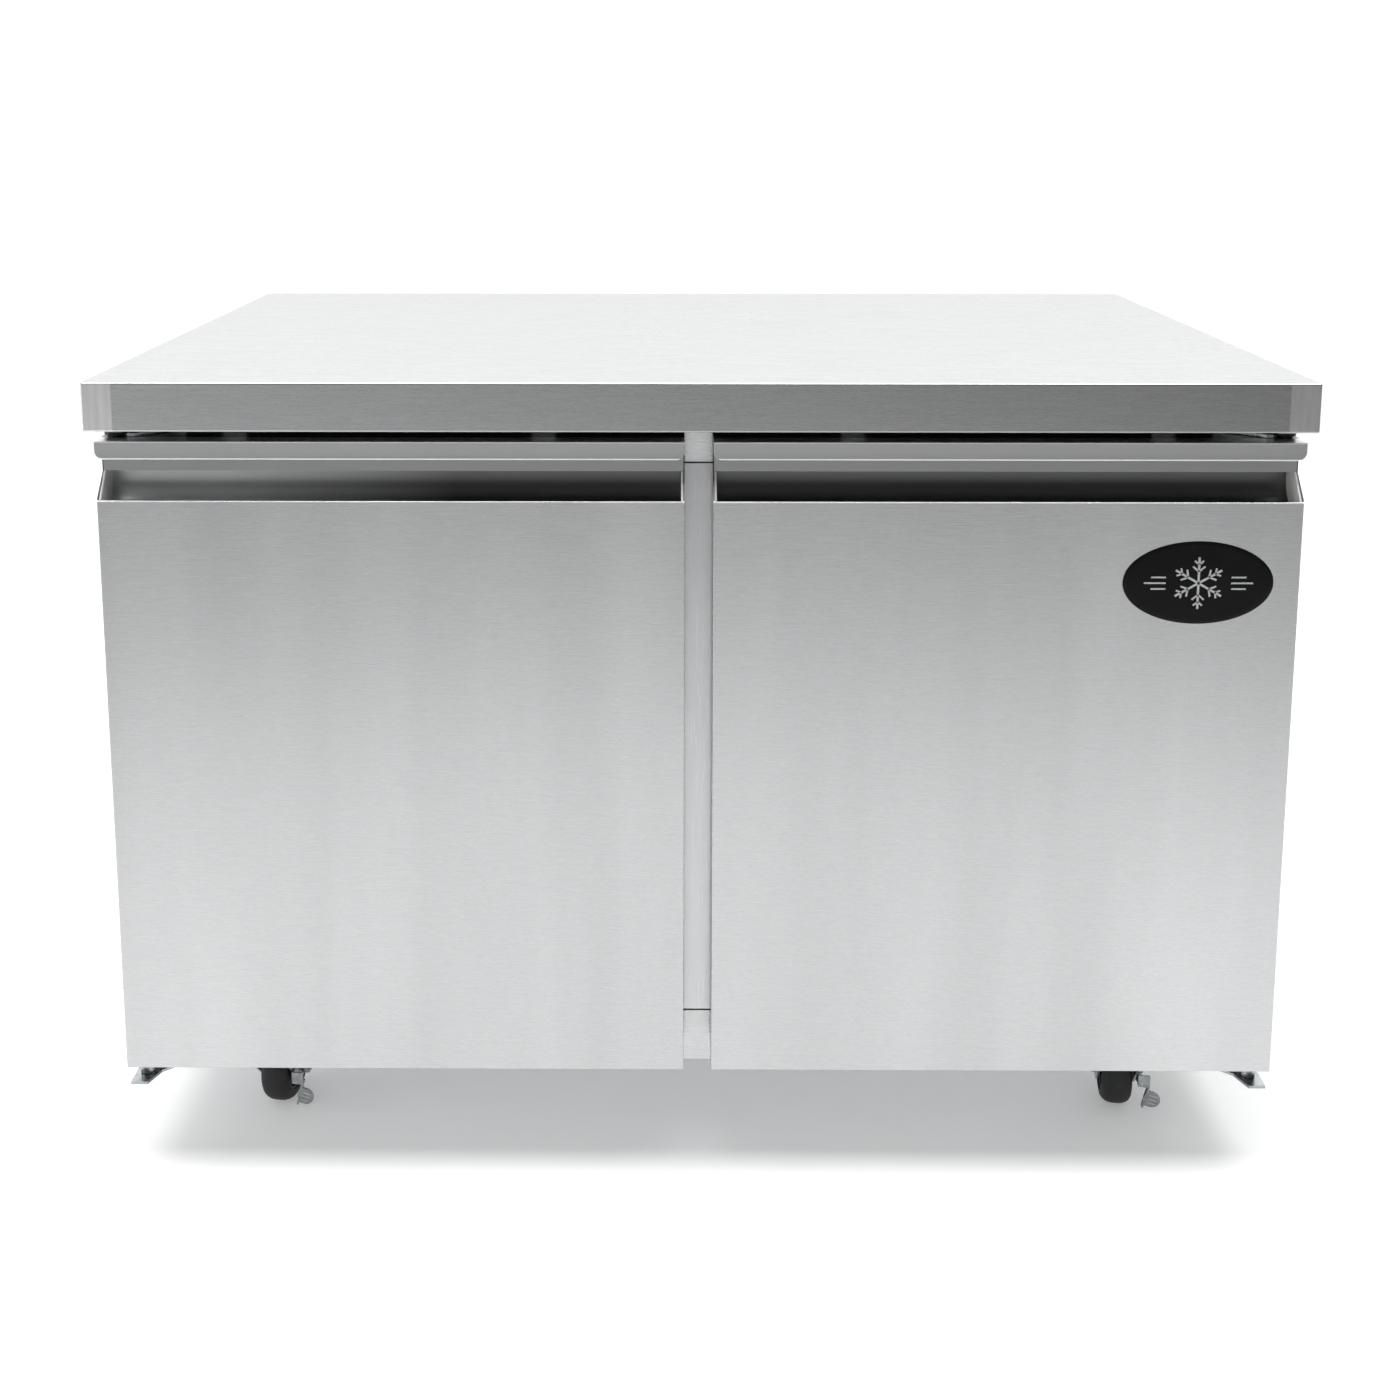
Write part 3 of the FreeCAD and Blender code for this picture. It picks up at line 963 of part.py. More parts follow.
# ---------------------------------------------------------------- condensing unit
def condensing_unit():
    left, right = "condenser_left", "(condenser_left + condenser_depth)"
    y = ("(machine_centre_y - condenser_size / 2)", "(machine_centre_y + condenser_size / 2)")
    z = ("condenser_bottom", "(condenser_bottom + condenser_height)")
    mid_z = "(condenser_bottom + condenser_height / 2)"
    fins = [box(f"condenser_fin_{i}", (left, right), (f"{y[0]} + {k}", f"{y[0]} + {k} + 1.2"), z)
            for i, k in enumerate(range(2, 171, 12))]
    tubes = [cylinder(f"condenser_tube_{i}_{k}", "y", f"{left} + {12 + 26 * i}", f"{y[0]} - 4",
                      f"{z[0]} + {h}", "4.5", "condenser_size + 8")
             for i in range(2) for k, h in enumerate(range(20, 201, 30))]
    feet = [box(f"condenser_foot_{i}", (left, right), (f"{y[0]} + {k}", f"{y[0]} + {k} + 12"),
                (f"{FOOT} + sheet_gauge", f"{z[0]} + 2")) for i, k in enumerate((0, 160))]
    node("condenser_coil", fuse("condenser_finned_coil", *fins, *tubes, *feet))

    plate = box("shroud_plate", (right, f"{right} + 2"), y, z)
    ring = cylinder("shroud_ring", "x", right, "machine_centre_y", mid_z, "fan_radius + fan_clearance + 2",
                    "34")
    eye = cylinder("shroud_eye", "x", f"{right} - 1", "machine_centre_y", mid_z,
                   "fan_radius + fan_clearance", "40")
    node("condenser_shroud", cut("shroud", fuse("shroud_whole", plate, ring), eye))

    node("condenser_fan", axial_fan("condenser_rotor", "20", "22", "fan_radius", AXIS_TURN["x"],
                                    f"{right} + 8", "machine_centre_y", mid_z))
    can = cylinder("condenser_motor_can", "x", f"{right} + 36", "machine_centre_y", mid_z, "30", "34")
    shaft = cylinder("condenser_motor_shaft", "x", f"{right} + 8", "machine_centre_y", mid_z, MOTOR_SHAFT,
                     "30")
    reach = "(fan_radius + fan_clearance + 2)"
    arms = [box("condenser_motor_arm_y", (f"{right} + 34", f"{right} + 37"),
                (f"machine_centre_y - {reach}", f"machine_centre_y + {reach}"), (f"{mid_z} - 6",
                                                                                 f"{mid_z} + 6")),
            box("condenser_motor_arm_z", (f"{right} + 34", f"{right} + 37"),
                ("machine_centre_y - 6", "machine_centre_y + 6"), (f"{mid_z} - {reach}",
                                                                   f"{mid_z} + {reach}"))]
    node("condenser_fan_motor", fuse("condenser_motor", can, shaft, *arms))


SUCTION_RISE, DISCHARGE_RISE, LIQUID_RISE = "360", "400", "372"
PORT_SUCTION, PORT_DISCHARGE = ("-38", "264"), ("30", "268")
CONDENSER_PORT_X = "45"
LINE_RADIUS = "3.5"
DRIER_FOOT, DRIER_RADIUS, DRIER_LENGTH = "420", "10", "110"
MOUNT_REACH_X, MOUNT_REACH_Y = "82", "54"
# (radius, height) corners of the can: a domed top, and a belt where its two halves are welded
COMPRESSOR_OUTLINE = [("0", "118"), ("62", "118"), ("74", "134"), ("74", "192"), ("79", "192"),
                      ("79", "197"),
                      ("74", "197"), ("70", "236"), ("52", "258"), ("26", "268"), ("0", "270")]


def compressor():
    x, y = "compressor_centre_x", "machine_centre_y"
    can = place(group("compressor_can_placed", revolved("compressor_can", COMPRESSOR_OUTLINE)), x, y)
    base = box("compressor_base", (f"{x} - 95", f"{x} + 95"), (f"{y} - 66", f"{y} + 66"), ("114", "119"))
    terminal = box("compressor_terminal_box", (f"{x} + 60", f"{x} + 98"), (f"{y} - 26", f"{y} + 26"),
                   ("150", "188"))
    grommets = [cylinder(f"compressor_grommet_{i}", "z",
                         f"{x} {sx} {MOUNT_REACH_X}", f"{y} {sy} {MOUNT_REACH_Y}",
                         f"{FOOT} + sheet_gauge", "11", "13")
                for i, (sx, sy) in enumerate((("-", "-"), ("-", "+"), ("+", "-"), ("+", "+")))]
    node("compressor", group("compressor_set", fuse("compressor_body", can, base, terminal), *grommets))

    coil_back = f"({INTERIOR_BACK} - evaporator_depth + 117)"
    coil_top = "(condenser_bottom + condenser_height)"
    suction_x = f"{x} + {PORT_SUCTION[0]}"
    suction = pipe("suction_line", [
        (suction_x, y, PORT_SUCTION[1]), (suction_x, y, SUCTION_RISE), (SUCTION_X, y, SUCTION_RISE),
        (SUCTION_X, y, SUCTION_Z), (SUCTION_X, coil_back, SUCTION_Z),
    ], SUCTION_RADIUS, "15")
    discharge_x = f"{x} + {PORT_DISCHARGE[0]}"
    discharge = pipe("discharge_line", [
        (discharge_x, y, PORT_DISCHARGE[1]), (discharge_x, y, DISCHARGE_RISE),
        (CONDENSER_PORT_X, y, DISCHARGE_RISE), (CONDENSER_PORT_X, y, coil_top),
    ], LINE_RADIUS, "15")
    drier_y = f"({BOX_BACK} + 30)"
    liquid = pipe("liquid_line", [
        (CONDENSER_PORT_X, drier_y, coil_top), (CONDENSER_PORT_X, drier_y, LIQUID_RISE),
        (CAPILLARY_X, drier_y, LIQUID_RISE), (CAPILLARY_X, drier_y, DRIER_FOOT),
    ], LINE_RADIUS, "15")
    drier = cylinder("filter_drier", "z", CAPILLARY_X, drier_y, DRIER_FOOT, DRIER_RADIUS, DRIER_LENGTH)
    capillary = pipe("capillary_tube", [
        (CAPILLARY_X, drier_y, f"{DRIER_FOOT} + {DRIER_LENGTH}"), (CAPILLARY_X, drier_y, CAPILLARY_Z),
        (CAPILLARY_X, coil_back, CAPILLARY_Z),
    ], CAPILLARY_RADIUS, "12")
    node("refrigerant_lines", group("line_set", suction, discharge, liquid, drier, capillary))

    pan = box("condensate_outer", ("-320", "-60"), (f"{BOX_BACK} + 8", f"{BOX_BACK} + 150"),
              (f"{FOOT} + sheet_gauge", "142"))
    basin = box("condensate_basin", ("-318", "-62"), (f"{BOX_BACK} + 10", f"{BOX_BACK} + 148"),
                ("104", "143"))
    node("condensate_pan", cut("condensate_tray", pan, basin))


# ---------------------------------------------------------------- screws and bolts
def screws():
    """Pan-head screws of the grille and hinges, and the hexagon bolts of the caster plates."""
    made = []

    def screw(x, y, z, outward):
        head_y = y if outward == "+" else f"{y} - {SCREW_HEAD_HEIGHT}"
        shank_y = f"{y} - 6" if outward == "+" else y
        number = len(made)
        head = cylinder(f"screw_head_{number}", "y", x, head_y, z, SCREW_HEAD, SCREW_HEAD_HEIGHT)
        shank = cylinder(f"screw_shank_{number}", "y", x, shank_y, z, SCREW_SHANK,
                         "6" if outward == "+" else "hinge_flange")
        made.append(fuse(f"screw_{number}", head, shank))

    for x, z in GRILLE_SCREWS:
        screw(x, CABINET_REAR, z, "+")
    for x in HINGE_SCREW_PLACES:
        for side in ("-", ""):
            screw(f"{side}{x}", f"({FACE} - hinge_flange)", f"{DOOR_TOP} - 4", "-")
            screw(f"{side}{x}", f"({FACE} - hinge_flange)", f"{FOOT} + 14", "-")
    for name, (x, y, _, _) in CASTERS.items():
        for i, (sx, sy) in enumerate((("-", "-"), ("-", "+"), ("+", "-"), ("+", "+"))):
            head = doc.addObject("Part::Prism", f"bolt_head_{name}_{i}")
            head.Polygon = 6
            bind(head, Circumradius="7.5", Height="5.3")
            place(head, f"({x}) {sx} {BOLT_X}", f"({y}) {sy} {BOLT_Y}", "caster_height - 8.3")
            shank = cylinder(f"bolt_shank_{name}_{i}", "z", f"({x}) {sx} {BOLT_X}", f"({y}) {sy} {BOLT_Y}",
                             "caster_height - 3", "4", "3")
            made.append(fuse(f"bolt_{name}_{i}", head, shank))
    node("screws", group("fastener_set", *made))


# ---------------------------------------------------------------- build, check and write
def write_parts():
    doc.recompute()
    failed = [o.Name for o in doc.Objects if {"Invalid", "Error"} & set(o.State)]
    if failed:
        raise SystemExit(f"these objects failed: {failed}")
    os.makedirs("parts", exist_ok=True)
    for name, made in NODES.items():
        solids = made.Shape
        if solids.isNull() or not solids.isValid() or not solids.Solids:
            raise SystemExit(f"{name} is not a valid solid")
        solids.exportStep(f"parts/{name}.step")
    print(f"{len(NODES)} nodes written")


worktop()
worktop_brackets()
cabinet()
rear_grille()
controller()
hinge_brackets()
doors()
casters()
shelf_supports()
shelves()
evaporator()
condensing_unit()
compressor()
screws()
write_parts()
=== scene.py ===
"""Looks of a two-door undercounter refrigerator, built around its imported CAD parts.

Metres, +Z up, doors towards -Y. Stainless sheet carries the whole look, so its grain, its folded
edges and what it mirrors are where the detail goes; the hidden machine parts get plainer finishes.
"""

import itertools
import json
import math

import bmesh
import bpy
from mathutils import Matrix, Vector


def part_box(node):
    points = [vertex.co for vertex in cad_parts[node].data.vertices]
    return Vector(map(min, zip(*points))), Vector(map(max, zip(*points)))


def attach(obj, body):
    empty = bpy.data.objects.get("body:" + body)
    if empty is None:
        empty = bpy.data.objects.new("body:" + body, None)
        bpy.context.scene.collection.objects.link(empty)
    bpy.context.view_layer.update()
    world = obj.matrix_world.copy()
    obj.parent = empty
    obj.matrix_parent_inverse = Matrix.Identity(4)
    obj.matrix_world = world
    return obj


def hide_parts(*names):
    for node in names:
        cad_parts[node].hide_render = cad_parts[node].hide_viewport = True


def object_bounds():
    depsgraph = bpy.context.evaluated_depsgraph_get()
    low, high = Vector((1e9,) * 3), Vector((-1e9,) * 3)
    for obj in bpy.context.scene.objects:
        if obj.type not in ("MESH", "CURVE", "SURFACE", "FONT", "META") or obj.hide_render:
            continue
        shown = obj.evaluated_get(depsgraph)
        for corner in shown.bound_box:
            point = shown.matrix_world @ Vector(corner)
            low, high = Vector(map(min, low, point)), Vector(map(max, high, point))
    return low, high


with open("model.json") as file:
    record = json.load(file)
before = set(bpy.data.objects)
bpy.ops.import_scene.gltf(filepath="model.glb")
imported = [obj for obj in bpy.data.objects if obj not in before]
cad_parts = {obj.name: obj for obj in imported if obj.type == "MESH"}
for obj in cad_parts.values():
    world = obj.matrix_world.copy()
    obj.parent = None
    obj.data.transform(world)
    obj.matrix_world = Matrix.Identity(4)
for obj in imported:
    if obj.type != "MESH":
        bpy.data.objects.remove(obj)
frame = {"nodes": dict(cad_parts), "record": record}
CAD_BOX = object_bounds()

MM = 0.001
NODE = frame["nodes"]
BODY_OF = {n: b for b, group in frame["record"]["behaviour"]["bodies"].items() for n in group}
JOINT = {j["name"]: j for j in frame["record"]["behaviour"]["joints"]}
CORNERS = ("front_left", "front_right", "rear_left", "rear_right")
DOORS = ("left", "right")

LOW, HIGH = (Vector(corner) for corner in CAD_BOX)
TOP = HIGH.z
FRONT = LOW.y
PANEL_TOP = TOP - 0.123         # head of the door's front panel
BROW_BOTTOM = TOP - 0.0966      # foot of the strip above the grip channel
FOLD = TOP - 0.0797             # turned foot of the lip on that strip
DOOR_HEAD = TOP - 0.062         # top of the doors


# ------------------------------------------------------------------ node trees
def linear(colour):
    """Linear RGBA of an sRGB hex colour."""
    parts = [int(colour[i:i + 2], 16) / 255 for i in (1, 3, 5)]
    return [c / 12.92 if c <= 0.04045 else ((c + 0.055) / 1.055) ** 2.4 for c in parts] + [1.0]


def add(tree, kind, inputs=None, **settings):
    """Adds one node. inputs maps a socket's name or number to a value or to the socket that feeds it."""
    made = tree.nodes.new("ShaderNode" + kind)
    for key, value in settings.items():
        setattr(made, key, value)
    for key, value in (inputs or {}).items():
        if isinstance(value, bpy.types.NodeSocket):
            tree.links.new(value, made.inputs[key])
        else:
            made.inputs[key].default_value = value
    return made


def blank(name):
    """An empty material: its tree, the Principled shader and the object-space position in metres."""
    made = bpy.data.materials.new(name)
    made.use_nodes = True
    tree = made.node_tree
    tree.nodes.clear()
    shader = add(tree, "BsdfPrincipled")
    add(tree, "OutputMaterial", {"Surface": shader.outputs["BSDF"]})
    where = add(tree, "TexCoord").outputs["Object"]
    return made, tree, shader, where


def stretched(tree, where, along):
    """Positions scaled in metres per axis, so that a noise of scale 1 has grains of the given sizes."""
    sizes = [1 / step for step in along]
    return add(tree, "Mapping", {"Vector": where, "Scale": sizes}).outputs["Vector"]


# ------------------------------------------------------------------ finishes
GRAIN_WIDTH = 0.9 * MM      # a belt-ground scratch is 0.1 mm wide: drawn wider so that it shows
GRAIN_LENGTH = 55 * MM

# Shading that is painted in, and so doesn't follow the lights
FOLD_LINE = 2.6                         # tone of a bright line along a fold, over the strip beside it
LIT_FROM, LIT_TO = -575 * MM, -250 * MM     # where the grip channel's left end brightens
LIT_SHARE = 1.3                         # how far it does: over 1, it is full before the end
SKIRT_LEFT, SKIRT_RIGHT = 0.86, 0.57    # tone of the worktop's skirt at its two ends


def brushed_stainless(name, grain="X", tint="#C9CACB", rough=0.27, bands=0.06, dressed_ends=None, fades=(),
                      lit_end=False):
    """304 stainless sheet, ground with a long belt: fine straight grain, and broad soft bands across it
    where the belt's pressure and the flatness of the sheet change. dressed_ends is how far from the
    middle the rubbed corner welds begin. Each of fades is (low, high, share, share): heights between
    which the steel's tone is scaled from one share to the other, to paint in shading. With lit_end the
    first of them gives way towards the cabinet's left end."""
    made, tree, shader, where = blank(name)
    grain_size = [GRAIN_LENGTH if grain == axis else GRAIN_WIDTH for axis in "XYZ"]
    fine = add(tree, "TexNoise", {"Vector": stretched(tree, where, grain_size), "Scale": 1.0,
                                  "Detail": 3.0, "Roughness": 0.65})
    streak_size = (90 * MM, 90 * MM, 900 * MM)
    streak = add(tree, "TexNoise", {"Vector": stretched(tree, where, streak_size), "Scale": 1.0,
                                    "Detail": 2.0, "Roughness": 0.5})
    height = fine.outputs["Fac"]
    grain_tone = add(tree, "MapRange", {"Value": height, "From Min": 0.3, "From Max": 0.7,
                                        "To Min": 0.98, "To Max": 1.02})
    band_tone = add(tree, "MapRange", {"Value": streak.outputs["Fac"], "From Min": 0.3, "From Max": 0.7,
                                       "To Min": 1 - bands, "To Max": 1 + bands / 2})
    tone = add(tree, "Math", {0: grain_tone.outputs["Result"], 1: band_tone.outputs["Result"]},
               operation="MULTIPLY")
    colour = add(tree, "VectorMath", {0: linear(tint)[:3], "Scale": tone.outputs["Value"]}, operation="SCALE")
    polish = add(tree, "MapRange", {"Value": height, "From Min": 0.3, "From Max": 0.7, "To Min": rough - 0.04,
                                    "To Max": rough + 0.05})
    base, gloss = colour.outputs["Vector"], polish.outputs["Result"]
    if dressed_ends:
        place = add(tree, "SeparateXYZ", {"Vector": where})
        off_centre = add(tree, "Math", {0: place.outputs["X"]}, operation="ABSOLUTE")
        at_end = add(tree, "MapRange", {"Value": off_centre.outputs["Value"],
                                        "From Min": dressed_ends - 0.8 * MM,
                                        "From Max": dressed_ends + 0.4 * MM})
        on_skirt = add(tree, "Math", {0: place.outputs["Z"], 1: TOP - 1.3 * MM}, operation="LESS_THAN")
        dressed = add(tree, "Math", {0: at_end.outputs["Result"], 1: on_skirt.outputs["Value"]},
                      operation="MULTIPLY")
        rub_size = (5 * MM, 5 * MM, 60 * MM)
        rubbed = add(tree, "TexNoise", {"Vector": stretched(tree, where, rub_size), "Scale": 1.0})
        patch = add(tree, "Mix", {"Factor": rubbed.outputs["Fac"], 6: linear("#D0D1D2"),
                                  7: linear("#F6F6F6")}, data_type="RGBA")
        mask = dressed.outputs["Value"]
        lighter = add(tree, "Mix", {"Factor": mask, 6: base, 7: patch.outputs[2]}, data_type="RGBA")
        smoother = add(tree, "Mix", {"Factor": mask, 2: gloss, 3: rough + 0.16}, data_type="FLOAT")
        # painted shade: along the skirt the tone falls from its left end to its right, over the rubbed welds
        across = add(tree, "MapRange", {"Value": place.outputs["X"], "From Min": LOW.x, "From Max": HIGH.x,
                                        "To Min": SKIRT_LEFT, "To Max": SKIRT_RIGHT})
        fade = add(tree, "Mix", {"Factor": on_skirt.outputs["Value"], 2: 1.0, 3: across.outputs["Result"]},
                   data_type="FLOAT")
        welds_and_painted_shade = add(tree, "VectorMath", {0: lighter.outputs[2], "Scale": fade.outputs[0]}, operation="SCALE")
        base, gloss = welds_and_painted_shade.outputs["Vector"], smoother.outputs[0]
    for number, (low, high, start, end) in enumerate(fades):
        place = add(tree, "SeparateXYZ", {"Vector": where})
        share = add(tree, "MapRange", {"Value": place.outputs["Z"], "From Min": low, "From Max": high,
                                       "To Min": start, "To Max": end}).outputs["Result"]
        if lit_end and number == 0:
            bright = add(tree, "MapRange", {"Value": place.outputs["X"], "From Min": LIT_FROM,
                                            "From Max": LIT_TO, "To Min": LIT_SHARE, "To Max": 0.0})
            inside = add(tree, "Math", {0: place.outputs["Z"], 1: high}, operation="LESS_THAN")
            both = add(tree, "Math", {0: bright.outputs["Result"], 1: inside.outputs["Value"]},
                       operation="MULTIPLY")
            share = add(tree, "Mix", {"Factor": both.outputs["Value"], 2: share, 3: 1.0},
                        data_type="FLOAT").outputs[0]
        scaled = add(tree, "VectorMath", {0: base, "Scale": share}, operation="SCALE")
        base = scaled.outputs["Vector"]
    bump = add(tree, "Bump", {"Height": height, "Strength": 0.04, "Distance": 0.05 * MM})
    shader.inputs["Metallic"].default_value = 1.0
    tree.links.new(base, shader.inputs["Base Color"])
    tree.links.new(gloss, shader.inputs["Roughness"])
    tree.links.new(bump.outputs["Normal"], shader.inputs["Normal"])
    return made


def mottled(name, colours, metallic, rough, spot, bump_height=0.0, coat=0.0, spread=0.06, specular=0.5):
    """A surface whose tone wanders between two colours over spots of a real size, with a matching relief."""
    made, tree, shader, where = blank(name)
    noise = add(tree, "TexNoise", {"Vector": stretched(tree, where, (spot,) * 3), "Scale": 1.0, "Detail": 4.0,
                                   "Roughness": 0.6})
    share = add(tree, "MapRange", {"Value": noise.outputs["Fac"], "From Min": 0.3, "From Max": 0.7})
    colour = add(tree, "Mix", {"Factor": share.outputs["Result"], 6: linear(colours[0]),
                               7: linear(colours[1])}, data_type="RGBA")
    gloss = add(tree, "MapRange", {"Value": noise.outputs["Fac"], "From Min": 0.3, "From Max": 0.7,
                                   "To Min": rough - spread / 2, "To Max": rough + spread / 2})
    shader.inputs["Metallic"].default_value = metallic
    shader.inputs["Specular IOR Level"].default_value = specular
    shader.inputs["Coat Weight"].default_value = coat
    shader.inputs["Coat Roughness"].default_value = 0.08
    tree.links.new(colour.outputs[2], shader.inputs["Base Color"])
    tree.links.new(gloss.outputs["Result"], shader.inputs["Roughness"])
    if bump_height:
        bump = add(tree, "Bump", {"Height": noise.outputs["Fac"], "Strength": 0.5, "Distance": bump_height})
        tree.links.new(bump.outputs["Normal"], shader.inputs["Normal"])
    return made


def galvanised_sheet():
    """Steel dipped in zinc: its spangle of flat crystals about 12 mm across, each a different grey."""
    made, tree, shader, where = blank("galvanised_steel_dipped")
    crystals = add(tree, "TexVoronoi", {"Vector": stretched(tree, where, (12 * MM,) * 3), "Scale": 1.0})
    grey = add(tree, "SeparateColor", {"Color": crystals.outputs["Color"]})
    colour = add(tree, "Mix", {"Factor": grey.outputs["Red"], 6: linear("#A4A8AB"),
                               7: linear("#BFC2C4")}, data_type="RGBA")
    gloss = add(tree, "MapRange", {"Value": grey.outputs["Green"], "To Min": 0.34, "To Max": 0.5})
    shader.inputs["Metallic"].default_value = 1.0
    tree.links.new(colour.outputs[2], shader.inputs["Base Color"])
    tree.links.new(gloss.outputs["Result"], shader.inputs["Roughness"])
    return made


FINISH = {
    # painted highlight: a bright line along the panel's head; painted shade: the cheeks' cut edges above it,
    # darkened
    "brushed_stainless": brushed_stainless(
        "stainless_304_belt_ground", tint="#C0C1C2",
        fades=[(PANEL_TOP - 1.5 * MM, PANEL_TOP - 1.1 * MM, 1.0, 1.8),
               (PANEL_TOP - 0.2 * MM, PANEL_TOP + 1 * MM, 1.0, 0.07)]),
    # painted in: a brighter head, close under the worktop
    "frame_stainless": brushed_stainless("stainless_304_belt_ground_rail", tint="#C0C1C2",
                                         fades=[(TOP - 100 * MM, TOP - 90 * MM, 1.0, 1.5)]),
    "worktop": brushed_stainless("stainless_304_belt_ground_with_dressed_corner_welds", bands=0.015,
                                 dressed_ends=HIGH.x - 30 * MM),
    # rolled steel, duller than ground sheet. Painted in: the channel's dark hollow, the paler strip above
    # it, and bright lines along that strip's turned foot and head
    "grip_channel": brushed_stainless(
        "stainless_304_rolled_channel", rough=0.34, bands=0.02, lit_end=True,
        fades=[(PANEL_TOP - 10 * MM, BROW_BOTTOM - 1 * MM, 0.1, 0.4),
               (BROW_BOTTOM - 1 * MM, BROW_BOTTOM, 1.0, 1.45),
               (BROW_BOTTOM + 10 * MM, BROW_BOTTOM + 26 * MM, 1.0, 1.4),
               (FOLD - 0.8 * MM, FOLD - 0.5 * MM, 1.0, FOLD_LINE),
               (FOLD + 0.5 * MM, FOLD + 0.8 * MM, 1.0, 1 / FOLD_LINE),
               (DOOR_HEAD - 1.4 * MM, DOOR_HEAD - 1.1 * MM, 1.0, 1.9)]),
    "side_stainless": brushed_stainless("stainless_304_belt_ground_upright", grain="Z", rough=0.3),
    "welded_stainless": brushed_stainless("stainless_304_satin_small_parts", grain="Z", rough=0.32,
                                          bands=0.02),
    # cold-rolled steel in bright zinc: pale, faintly clouded
    "zinc_plated": mottled("steel_bright_zinc_plated", ("#BFC1BF", "#D4D6D6"), 1.0, 0.3, 9 * MM, spread=0.1),
    # thicker plate, barrel-plated: a duller grey
    "barrel_zinc": mottled("steel_plate_barrel_zinc", ("#8E9294", "#AAAEAF"), 1.0, 0.27, 6 * MM, spread=0.08),
    "fasteners": mottled("steel_screw_zinc_plated", ("#B4B6B6", "#CACCCC"), 1.0, 0.28, 3 * MM),
    "galvanised_sheet": galvanised_sheet(),
    # thin aluminium sheet, anodised: even, pale and slightly milky
    "inner_aluminium": mottled("aluminium_sheet_anodised", ("#D3D5D8", "#DDDFE1"), 1.0, 0.36, 60 * MM),
    "coil_aluminium": mottled("aluminium_fin_stock_mill_finish", ("#C4C6C8", "#D6D8DA"), 1.0, 0.34, 15 * MM),
    # drawn copper, handled and brazed: patches of brown oxide
    "copper_tube": mottled("copper_tube_drawn", ("#B8704A", "#D08A60"), 1.0, 0.3, 18 * MM, spread=0.14),
    # plywood pressed between sheets of phenolic film: very dark and faintly rough
    "core_board": mottled("plywood_phenolic_film_faced", ("#1E1C1B", "#2B2827"), 0.0, 0.7, 3 * MM, 0.1 * MM),
    # polyurethane, foamed in place: cells of about a millimetre
    "foam": mottled("polyurethane_foamed_in_place", ("#CFCBBE", "#DEDBD0"), 0.0, 0.9, 1.2 * MM, 0.3 * MM),
    # soft vinyl, extruded: near black with a dull sheen
    "gasket": mottled("vinyl_gasket_extruded", ("#1B1C1D", "#26272A"), 0.0, 0.52, 6 * MM, 0.05 * MM),
    "white_plastic": mottled("abs_white_moulded", ("#E6E6E2", "#EEEEEB"), 0.0, 0.4, 20 * MM, 0.02 * MM),
    "black_plastic": mottled("nylon_black_moulded", ("#141415", "#1D1E20"), 0.0, 0.42, 5 * MM, 0.03 * MM),
    # stove enamel over pressed steel: deep black under a clear gloss
    "black_enamel": mottled("stove_enamel_black", ("#0D0D0E", "#161617"), 0.0, 0.35, 8 * MM, 0.02 * MM,
                            coat=0.4),
    "badge_plate": mottled("acrylic_badge_satin_black", ("#0C0C0C", "#101010"), 0.0, 0.3, 30 * MM,
                           specular=0.12),
    # moulded rubber: charcoal, scuffed paler where it has rolled
    "wheel_tread": mottled("rubber_tyre_moulded", ("#141416", "#26272A"), 0.0, 0.66, 7 * MM, 0.1 * MM,
                           spread=0.15),
    "wire_coated": mottled("steel_wire_epoxy_coated", ("#DCDDDA", "#E8E9E6"), 0.0, 0.33, 10 * MM, 0.03 * MM,
                           coat=0.25),
    "fan_plastic": mottled("glass_filled_nylon_moulded", ("#17181A", "#202224"), 0.0, 0.5, 4 * MM, 0.03 * MM),
}
SLOT_OF = {s["node"]: s["material_slot"] for s in frame["record"]["subparts"]}
for name, thing in NODE.items():
    thing.data.materials.clear()
    thing.data.materials.append(FINISH[SLOT_OF[name]])


# ------------------------------------------------------------------ mesh work
def wear(piece, node_or_slot, body):
    """Gives a new piece the finish of its slot, when it has none yet, and the body it moves with."""
    slot = SLOT_OF.get(node_or_slot, node_or_slot)
    if not piece.data.materials:
        piece.data.materials.append(FINISH[slot])
    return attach(piece, body)


def new_object(name, mesh_data):
    made = bpy.data.objects.new(name, mesh_data)
    bpy.context.scene.collection.objects.link(made)
    return made


def from_bmesh(name, work):
    data = bpy.data.meshes.new(name)
    bmesh.ops.recalc_face_normals(work, faces=work.faces[:])
    work.to_mesh(data)
    work.free()
    return new_object(name, data)


def shade(work, crease=35):
    """Smooth shading, with edges sharper than crease left hard."""
    limit = math.radians(crease)
    for edge in work.edges:
        edge.smooth = len(edge.link_faces) == 2 and edge.calc_face_angle(0) < limit
    for face in work.faces:
        face.smooth = True


def settled(piece):
    """The piece with its modifiers made into its mesh."""
    bpy.context.view_layer.update()
    data = bpy.data.meshes.new_from_object(piece.evaluated_get(bpy.context.evaluated_depsgraph_get()))
    piece.modifiers.clear()
    piece.data = data
    return piece


def ease_edges(piece, radius, segments, crease):
    """Rounds hard edges a little, then keeps flat faces flat to the eye."""
    rounding = piece.modifiers.new("edges", "BEVEL")
    rounding.width = radius
    rounding.segments = segments
    rounding.limit_method = "ANGLE"
    rounding.angle_limit = math.radians(35)
    settled(piece)
    work = bmesh.new()
    work.from_mesh(piece.data)
    shade(work, crease)
    work.to_mesh(piece.data)
    work.free()
    flat = piece.modifiers.new("flat_faces", "WEIGHTED_NORMAL")
    flat.keep_sharp = True


